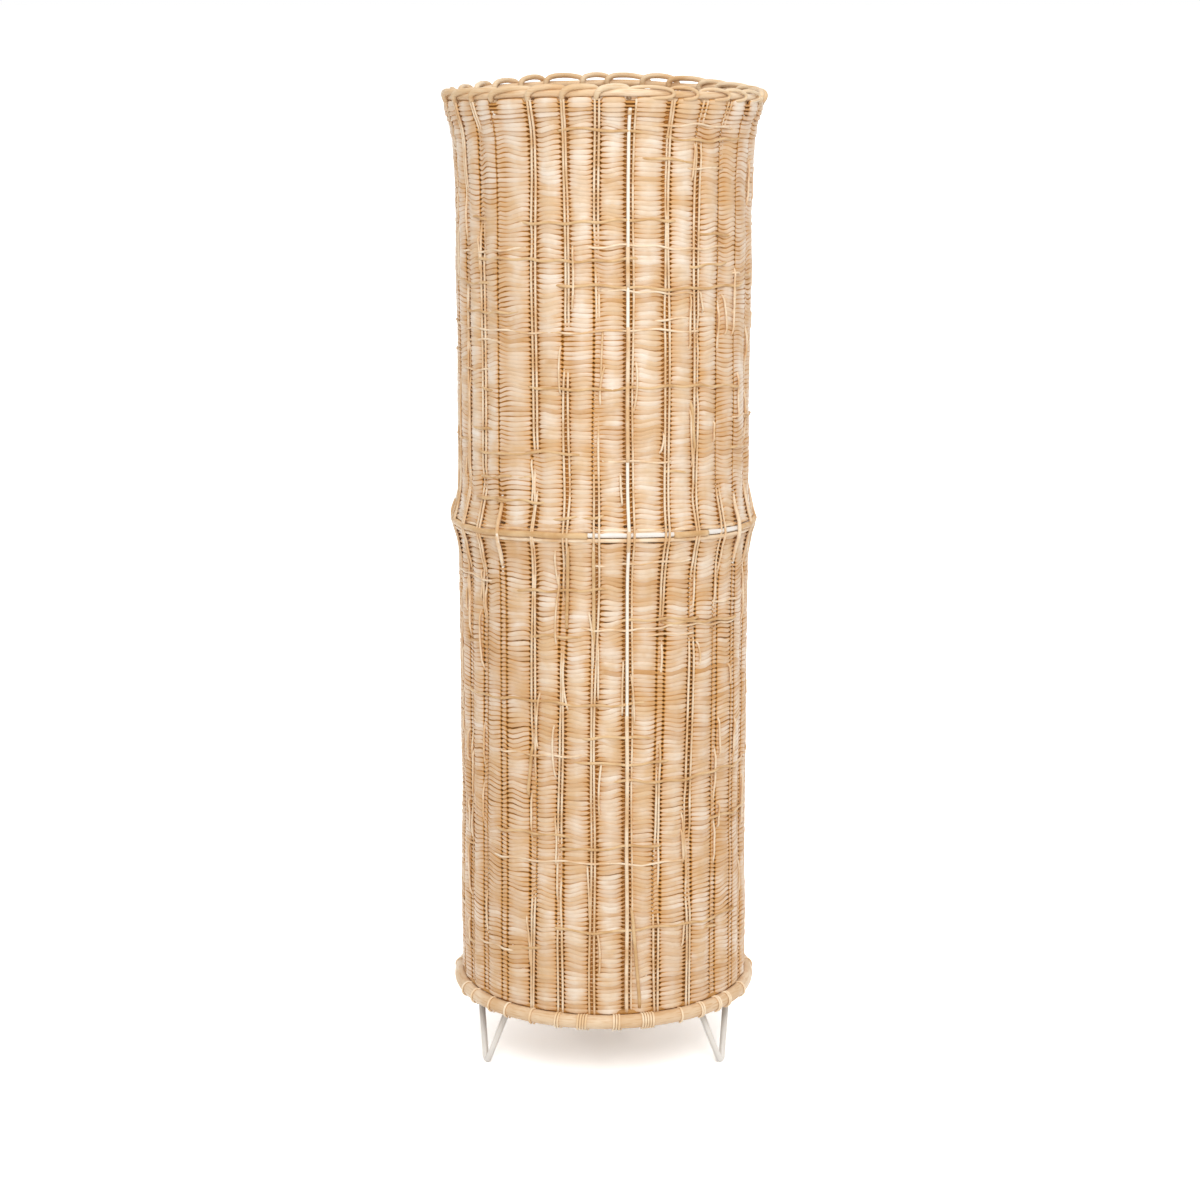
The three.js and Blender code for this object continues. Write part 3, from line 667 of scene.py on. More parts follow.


# %% [markdown]
# A weaver is slim beside a stake, full past it and flat against its neighbours on the crest. Where rows run
# over a stake they are full there too, but for the small holes beside it, and just under the rim they
# part a little. The furrows between rows get painted shade, darkest at the holes.

# %% One band of the weave
FULL_EDGE = (0.12, 0.18)
HOLE_EDGE = (0.06, 0.12)
CREST_EDGE = (0.15, 0.36)
PART_HEIGHTS = (966, 974)
INSIDE_SHADE_TOP = 940
PART_DROP = 1.8
SLIM_TALL, MORE_TALL = 2.35, 3.05
SLIM_THICK, MORE_THICK = 2.1, 0.7
CREST_OUT, CREST_UP = 0.6, 0.34


def fullness(side, share, height, over):
    """One where a weaver has its full height, and zero where it is slim."""
    full = eased(side, *FULL_EDGE)
    full = np.maximum(full, over * (1 - eased(side, *HOLE_EDGE)))
    return np.maximum(full, over * ((share < 0.5) & (height > COLLAR)))


def flatness(side, own, column, height):
    """Near one on the crest, where a weaver is pressed flat, and less where it is loose on its own."""
    crest = eased(side, CREST_EDGE[0], CREST_EDGE[1] + 0.16 * own) * (1 - 0.35 * own)
    return crest * (1 - 0.25 * (runs_over(column, height) + runs_over(column + 1, height)))


def weave_band(name, node, bottom, rows, seed, band_darkening):
    """Makes a band of rows from a bottom height up, and gives the height where it ends."""
    mesh = stack_of_hoops(rows)
    row, column, share, out, up = drawn_places(mesh)
    edge, inside = np.abs(up) ** 2, np.clip(-out, 0, 1)
    height = bottom + ROW_SPACE * (row + 0.5)
    turn = stake_turn(column, height) * (1 - share) + stake_turn(column + 1, height) * share
    draw = np.random.default_rng(seed)
    own = draw.uniform(0, 1, (rows, COLUMNS))[row, column % COLUMNS]
    plump = draw.uniform(0.95, 1.05, rows)[row]
    proud = draw.normal(0, 0.14, rows)[row]

    # The profile: how tall and thick a weaver is here.
    side = np.minimum(share, 1 - share)
    over = runs_over(np.where(share < 0.5, column, column + 1), height)
    full = fullness(side, share, height, over)
    crest = flatness(side, own, column, height)
    parted = eased(height, *PART_HEIGHTS) * (1 - full)
    tall = (SLIM_TALL + MORE_TALL * full) * plump
    thick = SLIM_THICK + MORE_THICK * full
    out = out + CREST_OUT * crest * (np.abs(up) > 0.9)
    up = up + np.sign(up) * CREST_UP * crest * (np.abs(up) < 0.9)

    # The place: on the wall's face, and a little further out or in where the weaver is full.
    bulge = ripple(turn, height, 11) * 0.5 * full + proud * full
    radius = wall_face(height, column + share) - thick / 2 + out * thick / 2 + bulge
    placed = spot(turn, radius, real_level(column, share, turn, height, own))
    placed[:, 2] += (up * tall / 2 - PART_DROP * parted) * mm
    mesh.vertices.foreach_set("co", placed.astype(np.float32).ravel())

    # The two numbers for the finish: the painted shade in the furrows, at the holes and where the rows part
    # under the rim, and the tone.
    lines = 0.76 + 0.16 * ripple(turn * 2, height * 5, seed + 5)
    furrow = edge * (lines * (1 - crest) + 0.06 + 0.5 * (1 - full))
    # Painted shade on the inner side of the weavers, deep in the column below the mouth.
    furrow = furrow + inside * 0.25 * (height < INSIDE_SHADE_TOP)
    furrow = furrow + 0.2 * parted + 0.3 * over * (1 - full)
    tone = row_tones(row, turn, rows, seed + 3) + ripple(turn, height, 23) * 0.1
    tone = tone + band_darkening + (own - 0.5) * 0.2
    keep_numbers(mesh, furrow=furrow, tone=tone)
    mesh.update()
    add_piece(name, mesh, weaver_cane, replaces=[node])
    return bottom + rows * ROW_SPACE


LOWER_BAND_ROWS = 55
UPPER_BAND_ROWS = 48
# Each band is shifted towards the darker, browner tone, the lower bands the most, so the weave is darker
# towards the bottom.
top = weave_band("weavers_1", "weave_lower", 83.2, LOWER_BAND_ROWS, 31, 0.13)
top = weave_band("weavers_2", "weave_lower", top, LOWER_BAND_ROWS, 32, 0.09)
top = weave_band("weavers_3", "weave_upper", 564.0, UPPER_BAND_ROWS, 33, 0.02)
top = weave_band("weavers_4", "weave_upper", top, UPPER_BAND_ROWS, 34, -0.03)
print("the weave ends at", round(top, 1), "mm")

# %% [markdown]
# ## Long canes
# A stake, an arch or a leg is a line with a thickness, so it is drawn as a Bezier curve with smooth
# handles and a round bevel. The curve is then made a mesh, whose ends are welded to their caps.

# %% Long canes


def drawn_canes(name, runs, thickness, sides=8, smooth=2, swell=None, handles="AUTO"):
    """Canes along the given rows of points in metres, as one mesh."""
    curve = bpy.data.curves.new(name, "CURVE")
    curve.dimensions = "3D"
    curve.bevel_depth = thickness / 2 * mm
    curve.bevel_resolution = (sides - 4) // 2
    curve.resolution_u = smooth
    curve.use_fill_caps = True
    for points in runs:
        spline = curve.splines.new("BEZIER")
        spline.bezier_points.add(len(points) - 1)
        for k, (knot, point) in enumerate(zip(spline.bezier_points, points)):
            knot.co = Vector(point)
            knot.handle_left_type = knot.handle_right_type = handles
            knot.radius = swell(k / (len(points) - 1)) if swell else 1
    drawn = bpy.data.objects.new(name, curve)
    scene.collection.objects.link(drawn)
    mesh = bpy.data.meshes.new_from_object(drawn.evaluated_get(bpy.context.evaluated_depsgraph_get()))
    bpy.data.objects.remove(drawn)
    form = bmesh.new()
    form.from_mesh(mesh)
    bmesh.ops.remove_doubles(form, verts=form.verts, dist=0.00001)
    bmesh.ops.recalc_face_normals(form, faces=form.faces)
    form.to_mesh(mesh)
    form.free()
    return mesh


# %% [markdown]
# ## The stakes
# Most stakes that show are pairs of thin canes, a few millimetres apart, lying in the groove where the
# weavers dip. They run from the base hoop to the rim, and go under the rows for a few short stretches.
# Where the rows run over a stake, its canes lie deep and come up only for such a stretch. Next to each
# steel rod that shows stands a single cane.

# %% The stakes
STAKE_CANE = 2.3
STAKE_POINTS = 72
STAKE_FOOT = 80.5
STAKE_TOP = 976.0
STAKE_SEAT = 0.2
DIVE = 1.9
SUNK = 2.9
DIVE_LENGTHS = (24, 60)
APARTS = [1.7, 2.0, 2.4]
PARTNER_ASIDE = 5.2


def stake_run(column, offset, out, foot=STAKE_FOOT, top=STAKE_TOP):
    """The line of one cane of a column, offset to the side by a function of height in millimetres."""
    height = np.linspace(foot, top, STAKE_POINTS)
    radius = wall_face(height, column + 0.04) + STAKE_CANE / 2 - STAKE_SEAT + out(height)
    aside = np.degrees(offset(height) / radius)
    return spot(stake_turn(column, height) + aside, radius, height)


def stand_off(column, height, seed):
    """How far a cane stands out from the wall's face: zero where it shows, less where it goes under."""
    inside = stretches(np.random.default_rng(700 + seed), height, DIVE_LENGTHS)
    over = runs_over(column, height)
    return -DIVE * inside * (1 - over) - SUNK * over * (1 - inside)


def pair_runs(column):
    draw = np.random.default_rng(300 + column)
    apart = draw.choice(APARTS)
    phases = draw.uniform(*PHASES, 4)
    pace = draw.uniform(28, 55, 2)

    def wander(height, side):
        own = 0.35 * np.sin(height / pace[side] + phases[side])
        return own + (1 if side else -1) * (apart + 0.6 * np.sin(height / 80 + phases[2]))

    def depth(height, side):
        return stand_off(column, height, column + 50 * side)

    return [stake_run(column, lambda z: wander(z, side), lambda z: depth(z, side)) for side in (0, 1)]


def rod_partner(column):
    """The single cane that stands to the right of a steel rod."""
    phase = np.random.default_rng(400 + column).uniform(*PHASES)
    return [stake_run(column, lambda z: PARTNER_ASIDE + 0.6 * np.sin(z / 31 + phase), np.zeros_like)]


runs = []
for column in range(COLUMNS):
    if not has_rod(column):
        runs += pair_runs(column)
    elif column not in BURIED_RODS:
        runs += rod_partner(column)
stakes = drawn_canes("stakes", runs, STAKE_CANE)
add_piece("stakes_shown", stakes, stake_cane)
print("canes that show as stakes:", len(runs))

# %% [markdown]
# Inside the column a thicker cane stands half way between each two stakes that show, and every weaver
# passes in front of it. It can be seen from above, through the mouth. It makes room for the collar's ring.

# %% The stakes inside
INNER_CANE = 3.2
WEAVER_THICK = SLIM_THICK + MORE_THICK
INNER_MISSES = (556, 567)


def hidden_run(column):
    height = np.linspace(STAKE_FOOT + 4, STAKE_TOP - 2, STAKE_POINTS // 2)
    height = height[(height < INNER_MISSES[0]) | (height > INNER_MISSES[1])]
    left, right = stake_turn(column, height), stake_turn(column + 1, height)
    radius = wall_face(height, column + 0.5) - WEAVER_THICK - INNER_CANE / 2
    return spot((left + right) / 2, radius, height)


inner = drawn_canes("inner", [hidden_run(column) for column in range(COLUMNS)], INNER_CANE)
add_piece("stakes_hidden", inner, inner_cane)

# %% [markdown]
# A flat splint stands behind each stake that shows and stops the light: a dark sheet for the shade in the
# holes beside the stake. Its outer face is painted dark brown as that shade, and its inner face is pale.
# It starts as a grid, whose points are moved to their places on the wall, and `solidify` gives it its
# thickness.

# %% The splints
SPLINT_WIDE = 15.0
SPLINT_THICK = 1.0
SPLINT_BACK = 2.5
SPLINT_STEPS = 36
SPLINT_REACHES = {"low": (72.0, 552.0), "high": (572.0, 974.5)}


def splint(form, column, low, high):
    made = bmesh.ops.create_grid(form, x_segments=2, y_segments=SPLINT_STEPS, size=1)
    for point in made["verts"]:
        height = low + (high - low) * (point.co.y + 1) / 2
        radius = float(wall_face(height, column)) - SPLINT_BACK
        aside = math.degrees(point.co.x * SPLINT_WIDE / 2 / radius)
        point.co = Vector(spot(float(stake_turn(column, height)) + aside, radius, height))


for name, (low, high) in SPLINT_REACHES.items():
    form = bmesh.new()
    for column in range(COLUMNS):
        splint(form, column, low, high)
    bmesh.ops.recalc_face_normals(form, faces=form.faces[:])
    bmesh.ops.solidify(form, geom=form.faces[:], thickness=SPLINT_THICK * mm)
    splints = finished(form, "splints")
    # One on the outer face, which carries the painted shade.
    keep_numbers(splints, bark=[point.normal.xy.dot(point.co.xy) > 0 for point in splints.vertices])
    add_piece("shade_splints_" + name, splints, splint_cane)

# %% [markdown]
# Here and there a cane lies over the stakes instead of behind them. A third of these binders are as pale
# and thin as the stakes, and the others are stouter and brown. They wander a little up and down, rise over
# each stake, and end where they are tucked in.

# %% The binders
COLLAR_MARGIN = 12
BINDER_CANES = {"pale": 2.2, "brown": 2.9}
LONG_BINDERS = [
    (862, -34, 30), (838, -8, 55), (826, -62, 14), (800, -20, 70), (758, -70, 40), (704, -30, 66),
    (640, -60, -6), (470, -12, 62), (396, -70, 20), (318, 2, 74), (236, -52, 36), (168, -20, 66),
]
SHORT_BINDERS = 110
SHORT_HEIGHTS = (108, 956)
SHORT_STARTS = (-95, 265)
SHORT_LENGTHS = (12, 45)
BINDER_SEAT = 0.8
BINDER_RISE = 2.9
BINDER_TUCK = 2.0


def binder_run(height, start, end, seed):
    draw = np.random.default_rng(seed)
    turn = np.arange(start, end, 1.6)
    level = height + 1.6 * np.sin(np.radians(turn) * draw.uniform(4, 9) + draw.uniform(*PHASES))
    level = level + 0.9 * np.sin(np.radians(turn) * draw.uniform(18, 30) + draw.uniform(*PHASES))
    place = place_at(turn, level)
    over = np.cos(np.pi * place) ** 4
    tucked = 1 - eased(np.minimum(turn - start, end - turn), 0.5, 5)
    radius = wall_face(level, place) - BINDER_SEAT + BINDER_RISE * over - BINDER_TUCK * tucked
    return spot(turn, radius, level)


draw = np.random.default_rng(77)
places = LONG_BINDERS[:]
for height in np.linspace(*SHORT_HEIGHTS, SHORT_BINDERS) + draw.uniform(-5, 5, SHORT_BINDERS):
    start = draw.uniform(*SHORT_STARTS)
    if abs(height - COLLAR) > COLLAR_MARGIN:
        places.append((height, start, start + draw.uniform(*SHORT_LENGTHS)))
runs = [binder_run(*place, seed=600 + k) for k, place in enumerate(places)]
sorts = {"pale": (runs[1::3], stake_cane), "brown": (runs[::3] + runs[2::3], binder_cane)}
for name, (lines, finish) in sorts.items():
    binders = drawn_canes("binders", lines, BINDER_CANES[name])
    add_piece("weave_binders_" + name, binders, finish)

# %% [markdown]
# Broken stakes were mended with short canes pushed in beside them. These twigs stand upright, and lean and
# bow a little. Five stout ones have their places listed, and the thin ones stand beside stakes by chance.

# %% The twigs
TWIG_CANES = {"thin": 2.1, "stout": 3.6}
STOUT_TWIGS = [
    (-3.9, 452, 553, 0), (-14, 470, 550, 1), (12.5, 88, 190, -3), (-30, 300, 352, 2), (36, 640, 690, -2),
]
THIN_TWIGS = 150
THIN_FEET = (95, 900)
THIN_LENGTHS = (18, 62)
TWIG_SEAT = 1.2
TWIG_TUCK = 2.6


def twig_run(turn, low, high, lean, bow=0.0):
    """A twig from a low to a high place, which leans and bows by so many degrees on its way."""
    height = np.linspace(low, high, 9)
    part = (height - low) / (high - low)
    turn = turn + lean * (part - 0.5) + bow * np.sin(np.pi * part)
    tucked = 1 - eased(np.minimum(part, 1 - part), 0, 0.12)
    radius = wall_face(height, place_at(turn, height)) + TWIG_SEAT - TWIG_TUCK * tucked
    return spot(turn, radius, height)


def thin_twigs():
    draw = np.random.default_rng(91)
    runs = []
    for _ in range(THIN_TWIGS):
        column = draw.integers(0, COLUMNS)
        low = draw.uniform(*THIN_FEET)
        high = low + draw.uniform(*THIN_LENGTHS)
        if low < COLLAR + COLLAR_MARGIN and high > COLLAR - COLLAR_MARGIN:
            continue
        aside = draw.choice([-1, 1]) * draw.uniform(1.5, 3.2)
        turn = float(stake_turn(column, (low + high) / 2)) + aside
        runs.append(twig_run(turn, low, high, draw.uniform(-1.8, 1.8), draw.uniform(-0.9, 0.9)))
    return runs


stout = drawn_canes("stout", [twig_run(*twig) for twig in STOUT_TWIGS], TWIG_CANES["stout"])
add_piece("twigs_stout", stout, binder_cane)
thin = drawn_canes("thin", thin_twigs(), TWIG_CANES["thin"])
add_piece("twigs_thin", thin, stake_cane)

# %% [markdown]
# ## The rim
# A thick core cane runs round the mouth, and each stake bends over it in an arch that comes down inside,
# one stake further on. Seen from outside the arches rise from the stakes. Across the mouth, at the back,
# they come down towards the viewer, with light showing under them, and the core sags a little there. In
# front, on the right, the ends curl down outside instead. The arches are stout at the front left, and
# wider at the left and right of the lamp.

# %% The rim
RIM_CORE_RADIUS = 151.8
RIM_CORE = 7.6
CORE_DROP = 0.6
ARCH = [
    (-0.03, 3.4, -6.0), (-0.02, 5.2, -3.2), (0.02, 6.2, 0.4), (0.1, 5.6, 3.8), (0.24, 4.2, 6.0),
    (0.42, 2.0, 7.2), (0.6, -0.6, 7.4), (0.8, -3.0, 6.6), (0.94, -5.0, 4.6), (1.0, -5.8, 1.4),
    (1.01, -5.8, -2.6), (1.0, -4.8, -6.6),
]
CURLED = {0: 1.02, 1: 0.72, 2: 0.92, 3: 0.86, 4: 0.8}
CURL = [
    (-0.05, -3.6, 2.8), (0.1, -2.0, 4.6), (0.34, 0.6, 5.6), (0.6, 2.8, 5.3), (0.84, 4.8, 3.6),
    (0.97, 6.0, 1.0), (0.96, 6.2, -1.6), (0.82, 5.6, -3.6), (0.6, 4.8, -4.6), (0.4, 3.8, -5.0),
]
STOUT_COLUMNS = range(20, 28)
ARCH_CANES = {"stout": 6.0, "plain": 5.6, "slim": 3.5}
SIDE_TURNS = (55, 72, 124, 148)
SIDE_RISE, SIDE_FALL, BACK_RISE = 0.74, 0.12, 0.16
END_ON = (84, 96, 126, 146)
PLAIN_WIDE, WIDER, WIDE_AS_DRAWN = 1.12, 0.2, 1.02


def arch_kind(column):
    if column in CURLED:
        return "slim"
    return "stout" if column in STOUT_COLUMNS else "plain"


def from_front(turn):
    return abs((turn + 180) % 360 - 180)


def between(turn, start, rise, fall, end):
    """One between two turns, and eased down to zero on either side of them."""
    return float(eased(turn, start, rise) * (1 - eased(turn, fall, end)))


def arch_height(turn):
    """The rise of an arch as a share of ARCH's: lowest at the left and right, highest at the back."""
    near, low, end, far = SIDE_TURNS
    back = float(eased(from_front(turn), end, far))
    return SIDE_RISE + BACK_RISE * back - SIDE_FALL * between(from_front(turn), near, low, low, end)


def arch_run(column):
    """One arch of the border, or one end that curls down outside the core."""
    draw = np.random.default_rng(500 + column)
    start, end = stake_turn(column, RIM), stake_turn(column + 1, RIM)
    tall = draw.uniform(0.92, 1.04)
    lean = draw.uniform(-0.05, 0.05)
    middle = start + PITCH / 2
    wide = CURLED.get(column, 1)
    if arch_kind(column) == "plain":
        wide = PLAIN_WIDE + WIDER * between(from_front(middle), *END_ON)
    points = []
    for share, out, up in CURL if column in CURLED else ARCH:
        share = share * wide + lean * (0.2 < share < 0.9) - max(0, wide - WIDE_AS_DRAWN) / 2
        low = 1 if column in CURLED or up < 0 else arch_height(middle)
        points.append(spot(start + share * (end - start), RIM_CORE_RADIUS + out, RIM + up * tall * low))
    return points


def rim_swell(share):
    """An arch is slimmer where it leaves the wall and where it ends."""
    return 0.75 + 0.25 * min(1, share / 0.15) - 0.25 * max(0, (share - 0.9) / 0.1)


for kind, cane in ARCH_CANES.items():
    runs = [arch_run(column) for column in range(COLUMNS) if arch_kind(column) == kind]
    arches = drawn_canes("arches", runs, cane, sides=10, smooth=4, swell=rim_swell)
    add_piece("rim_arches_" + kind, arches, border_cane, replaces=["rim_border"])


LOW_CORE = (130, 150)
LOW_CORE_DROP = 1.7
CORE_TURNS = np.linspace(-180, 180, 145)

sag = eased(np.abs(CORE_TURNS), *LOW_CORE)
waver = 0.4 * np.sin(np.radians(CORE_TURNS) * 9)
run = spot(CORE_TURNS, RIM_CORE_RADIUS, RIM - CORE_DROP - LOW_CORE_DROP * sag + waver)
core = drawn_canes("core", [run], RIM_CORE, sides=14)
add_piece("rim_core", core, hoop_cane, replaces=["rim_cane"])

# %% [markdown]
# ## The collar
# The white steel ring shows between the lower and the upper weave. On the left, in one place on the right
# and round the back a cane is laid over it. Two stout rows run all the way round, one right under the ring
# and one over it.

# %% The collar
COLLAR_RING_RADIUS = 149.9
COLLAR_WIRE = 5.0
COVERED = [(-176, -5.5), (26.5, 43.0), (62, 176)]
COVER_CANE = 6.4
COVER_OUT = 2.0
STOUT_ROWS = {"under": (150.6, COLLAR - 5.0, 4.0), "over": (149.0, COLLAR + 4.6, 3.2)}


def cane_hoop(name, radius, height, cane, steps=168, sides=14):
    """A plain hoop of cane by a full spin, then lifted as the column is."""
    form = bmesh.new()
    add_profile(form, sides, cane / 2, radius, height)
    spin_round(form, steps)
    for point in form.verts:
        turn = math.degrees(math.atan2(point.co.x, -point.co.y))
        point.co.z += float(lift(turn, height))
    bmesh.ops.scale(form, vec=(mm, mm, mm), verts=form.verts)
    return finished(form, name)


ring = cane_hoop("ring", COLLAR_RING_RADIUS, COLLAR, COLLAR_WIRE)
add_piece("collar_ring", ring, white_steel, replaces=["frame_collar_ring"])


def cover_run(start, end):
    turn = np.arange(start, end, 2.5)
    height = COLLAR + 0.4 * np.sin(np.radians(turn) * 9) + 0.3 * np.sin(np.radians(turn) * 23)
    return spot(turn, COLLAR_RING_RADIUS + COVER_OUT, height)


covers = drawn_canes("covers", [cover_run(*ends) for ends in COVERED], COVER_CANE)
add_piece("collar_covers", covers, binder_cane)
for name, (radius, height, cane) in STOUT_ROWS.items():
    stout = cane_hoop(name, radius, height, cane)
    add_piece("collar_row_" + name, stout, stake_cane)

# %% [markdown]
# ## The base
# The hoop at the foot is the thickest cane of all. Straps of thin cane bind it to the steel ring that lies
# inside it: each strap is wound round both, some of them once and some up to five times. A strap starts
# as one oval profile, which `spin` carries round hoop and ring in turn, with straight runs between.

# %% The base
FOOT_ROW = (144.8, 83.4, 5.0)
base = cane_hoop("base", HOOP_RADIUS, HOOP_HEIGHT, HOOP_CANE, steps=224, sides=20)
add_piece("base_hoop_cane", base, hoop_cane, replaces=["base_hoop"])
# A row of cane closes the gap between the weave and the hoop. Its dark brown is painted shade, for the
# crease where the weave meets the hoop.
foot_row = cane_hoop("foot_row", *FOOT_ROW)
add_piece("foot_row", foot_row, foot_shade_cane)
wire = cane_hoop("wire", RING_RADIUS, HOOP_HEIGHT, RING_WIRE)
add_piece("base_ring", wire, white_steel, replaces=["frame_base_ring"])

STRAP_WIDE = 2.2
STRAP_THICK = 1.7
STRAP_SPACE = 2.7
STRAP_CLEAR = 0.1
WIND_STEPS = 12
FRONT_STRAPS = [
    (-59.5, 1), (-48.2, 1), (-39.6, 1), (-28.2, 1), (-17.5, 2), (-8, 4), (4.9, 3), (16.8, 5), (30.6, 1),
    (40.3, 2), (49.3, 2), (55.6, 2),
]
BACK_STRAPS = [(turn, 1) for turn in range(68, 293, 28)]
WIND_SHARE = 0.4
RUN_SHARE = 0.1


def strap_start(loops, radius, angle):
    """The oval profile of a strap at its first point on the hoop, and the bmesh that holds it."""
    form = bmesh.new()
    verts = bmesh.ops.create_circle(form, segments=8, radius=0.5)["verts"]
    bmesh.ops.scale(form, verts=verts, vec=(STRAP_WIDE, STRAP_THICK, 1))
    bmesh.ops.rotate(form, verts=verts, matrix=Matrix.Rotation(math.pi - angle, 3, "X"))
    out = HOOP_RADIUS + radius * math.cos(angle)
    start = (-loops * STRAP_SPACE / 2, -out, HOOP_HEIGHT + radius * math.sin(angle))
    bmesh.ops.translate(form, verts=verts, vec=start)
    return form, form.edges[:]


def wind(form, edges, centre, angle, shift):
    """Carries the last profile round a centre, and a little sideways."""
    rim = list(dict.fromkeys(point for edge in edges for point in edge.verts))
    made = bmesh.ops.spin(
        form,
        geom=rim + edges,
        cent=(0, -centre, HOOP_HEIGHT),
        axis=(-1, 0, 0),
        dvec=(shift / WIND_STEPS, 0, 0),
        angle=angle,
        steps=WIND_STEPS,
    )
    return [item for item in made["geom_last"] if isinstance(item, bmesh.types.BMEdge)]


def run_straight(form, edges, move):
    """Draws the last profile out along a straight line."""
    made = bmesh.ops.extrude_edge_only(form, edges=edges)
    verts = [item for item in made["geom"] if isinstance(item, bmesh.types.BMVert)]
    bmesh.ops.translate(form, verts=verts, vec=move)
    grown = [item for item in made["geom"] if isinstance(item, bmesh.types.BMEdge)]
    return [edge for edge in grown if set(edge.verts) <= set(verts)]


def wound_strap(name, turn, loops):
    """A thin strip wound round hoop and ring: spins round each of them, with straight runs between."""
    big = HOOP_CANE / 2 + STRAP_CLEAR + STRAP_THICK / 2
    small = RING_WIRE / 2 + STRAP_CLEAR + STRAP_THICK / 2
    touch = math.acos((big - small) / (HOOP_RADIUS - RING_RADIUS))
    form, edges = strap_start(loops, big, -touch)
    inward = HOOP_RADIUS - RING_RADIUS + (big - small) * math.cos(touch)
    fall = (big - small) * math.sin(touch)
    for _ in range(loops):
        edges = wind(form, edges, HOOP_RADIUS, 2 * touch, STRAP_SPACE * WIND_SHARE)
        edges = run_straight(form, edges, (STRAP_SPACE * RUN_SHARE, inward, -fall))
        edges = wind(form, edges, RING_RADIUS, 2 * math.pi - 2 * touch, STRAP_SPACE * WIND_SHARE)
        edges = run_straight(form, edges, (STRAP_SPACE * RUN_SHARE, -inward, -fall))
    bmesh.ops.holes_fill(form, edges=form.edges[:], sides=0)
    bmesh.ops.recalc_face_normals(form, faces=form.faces[:])
    bmesh.ops.rotate(form, verts=form.verts[:], matrix=Matrix.Rotation(math.radians(turn), 3, "Z"))
    bmesh.ops.scale(form, verts=form.verts[:], vec=(mm, mm, mm))
    return finished(form, name)


for k, (turn, loops) in enumerate(FRONT_STRAPS + BACK_STRAPS, start=1):
    strap = wound_strap(f"strap_{k}", turn, loops)
    add_piece(f"strap_{k}", strap, strap_cane, replaces=[f"base_strap_{k}"])
print("straps:", k)

# %% [markdown]
# ## The rods
# Seven steel rods stand in the weave in place of stakes, one at every fourth place. Each starts with a
# short tail between the hoop and the ring, bends out under the weave and ends below the rim.

# %% The rods
ROD_WIRE = 3.3
ROD_CLEAR = 0.45
TAIL_CLEAR = 0.3
ROD_TAIL = [(0, 70.0), (0, 75.0), (0.4, 78.6)]
ROD_HEIGHTS = np.array([83.8, 90, 110, *np.arange(140, 961, 20), 967.0])


def rod_radius(height):
    """A rod lies just in front of the groove of a rod's place, also where the weave has filled it."""
    return wall_face(height, 0) + ROD_CLEAR + ROD_WIRE / 2


def rod_run(column):
    turn = FIRST_TURN + column * PITCH
    tail = RING_RADIUS + RING_WIRE / 2 + TAIL_CLEAR + ROD_WIRE / 2
    foot = [(tail + out, height) for out, height in ROD_TAIL]
    line = [*foot, *zip(rod_radius(ROD_HEIGHTS), ROD_HEIGHTS)]
    return [spot(turn, radius, height) for radius, height in line]


for k in range(COLUMNS // ROD_EVERY):
    rod = drawn_canes(f"rod_{k + 1}", [rod_run(k * ROD_EVERY)], ROD_WIRE, sides=10, smooth=3)
    add_piece(f"rod_{k + 1}", rod, white_rod, replaces=[f"frame_upright_{k + 1}"])

# %% [markdown]
# A split cane is laid over each rod along most of its height, and leaves it bare and white in between. The
# first rod, at the front, is bare in four stretches, and the others that show are bare in one. The two
# that are buried in the weave need a cover only at the collar, where they step out of it.

# %% The canes over the rods
FRONT_BARE = [(384, 546), (566, 632), (762, 800), (838, 962)]
BARE_LENGTH = 70
BURIED_BARE = [(0, 528), (596, 1000)]
SLEEVE_CANE = 3.9
SLEEVE_STEP = 12.0
SLEEVE_OUT = 0.35


def sleeve_runs(column):
    """The stretches between the bare ones, each as a line a little in front of the rod."""
    start = np.random.default_rng(400 + column).uniform(150, 700)
    bare = [(start, start + BARE_LENGTH)] if column else FRONT_BARE
    bare = BURIED_BARE if column in BURIED_RODS else [(0, 84), *bare, (966, 1000)]
    runs = []
    for (_, low), (high, _) in zip(bare, bare[1:]):
        height = np.linspace(low, high, max(3, round((high - low) / SLEEVE_STEP)))
        turn = FIRST_TURN + column * PITCH + 0.12 * np.sin(height / 23)
        runs.append(spot(turn, rod_radius(height) + SLEEVE_OUT, height))
    return runs


runs = [run for column in range(0, COLUMNS, ROD_EVERY) for run in sleeve_runs(column)]
sleeves = drawn_canes("sleeves", runs, SLEEVE_CANE, sides=10, smooth=3)
add_piece("rod_covers", sleeves, stake_cane)

# %% [markdown]
# ## The legs
# Each leg is one wire bent like a hairpin. Its two strands are straight, so the curve gets vector handles
# there and many short steps round the bend. The foot is dressed flat: the points below the floor are
# moved up to it. A bead of weld joins each strand to the ring.

# %% The legs
LEG_TURNS = {"right": 60, "back": 180, "left": -60}
LEG_SPREAD = math.radians(14)
LEG_BEND = 3.6
FOOT_REACH = 140.0
FOOT_FLAT = 0.2
WELD_SUNK = 0.4
LEG_WELD = (8.2, 8.2, 4.4)


def outward(turn):
    angle = math.radians(turn)
    return Vector((math.sin(angle), -math.cos(angle), 0))


def sideways(turn):
    angle = math.radians(turn)
    return Vector((math.cos(angle), math.sin(angle), 0))


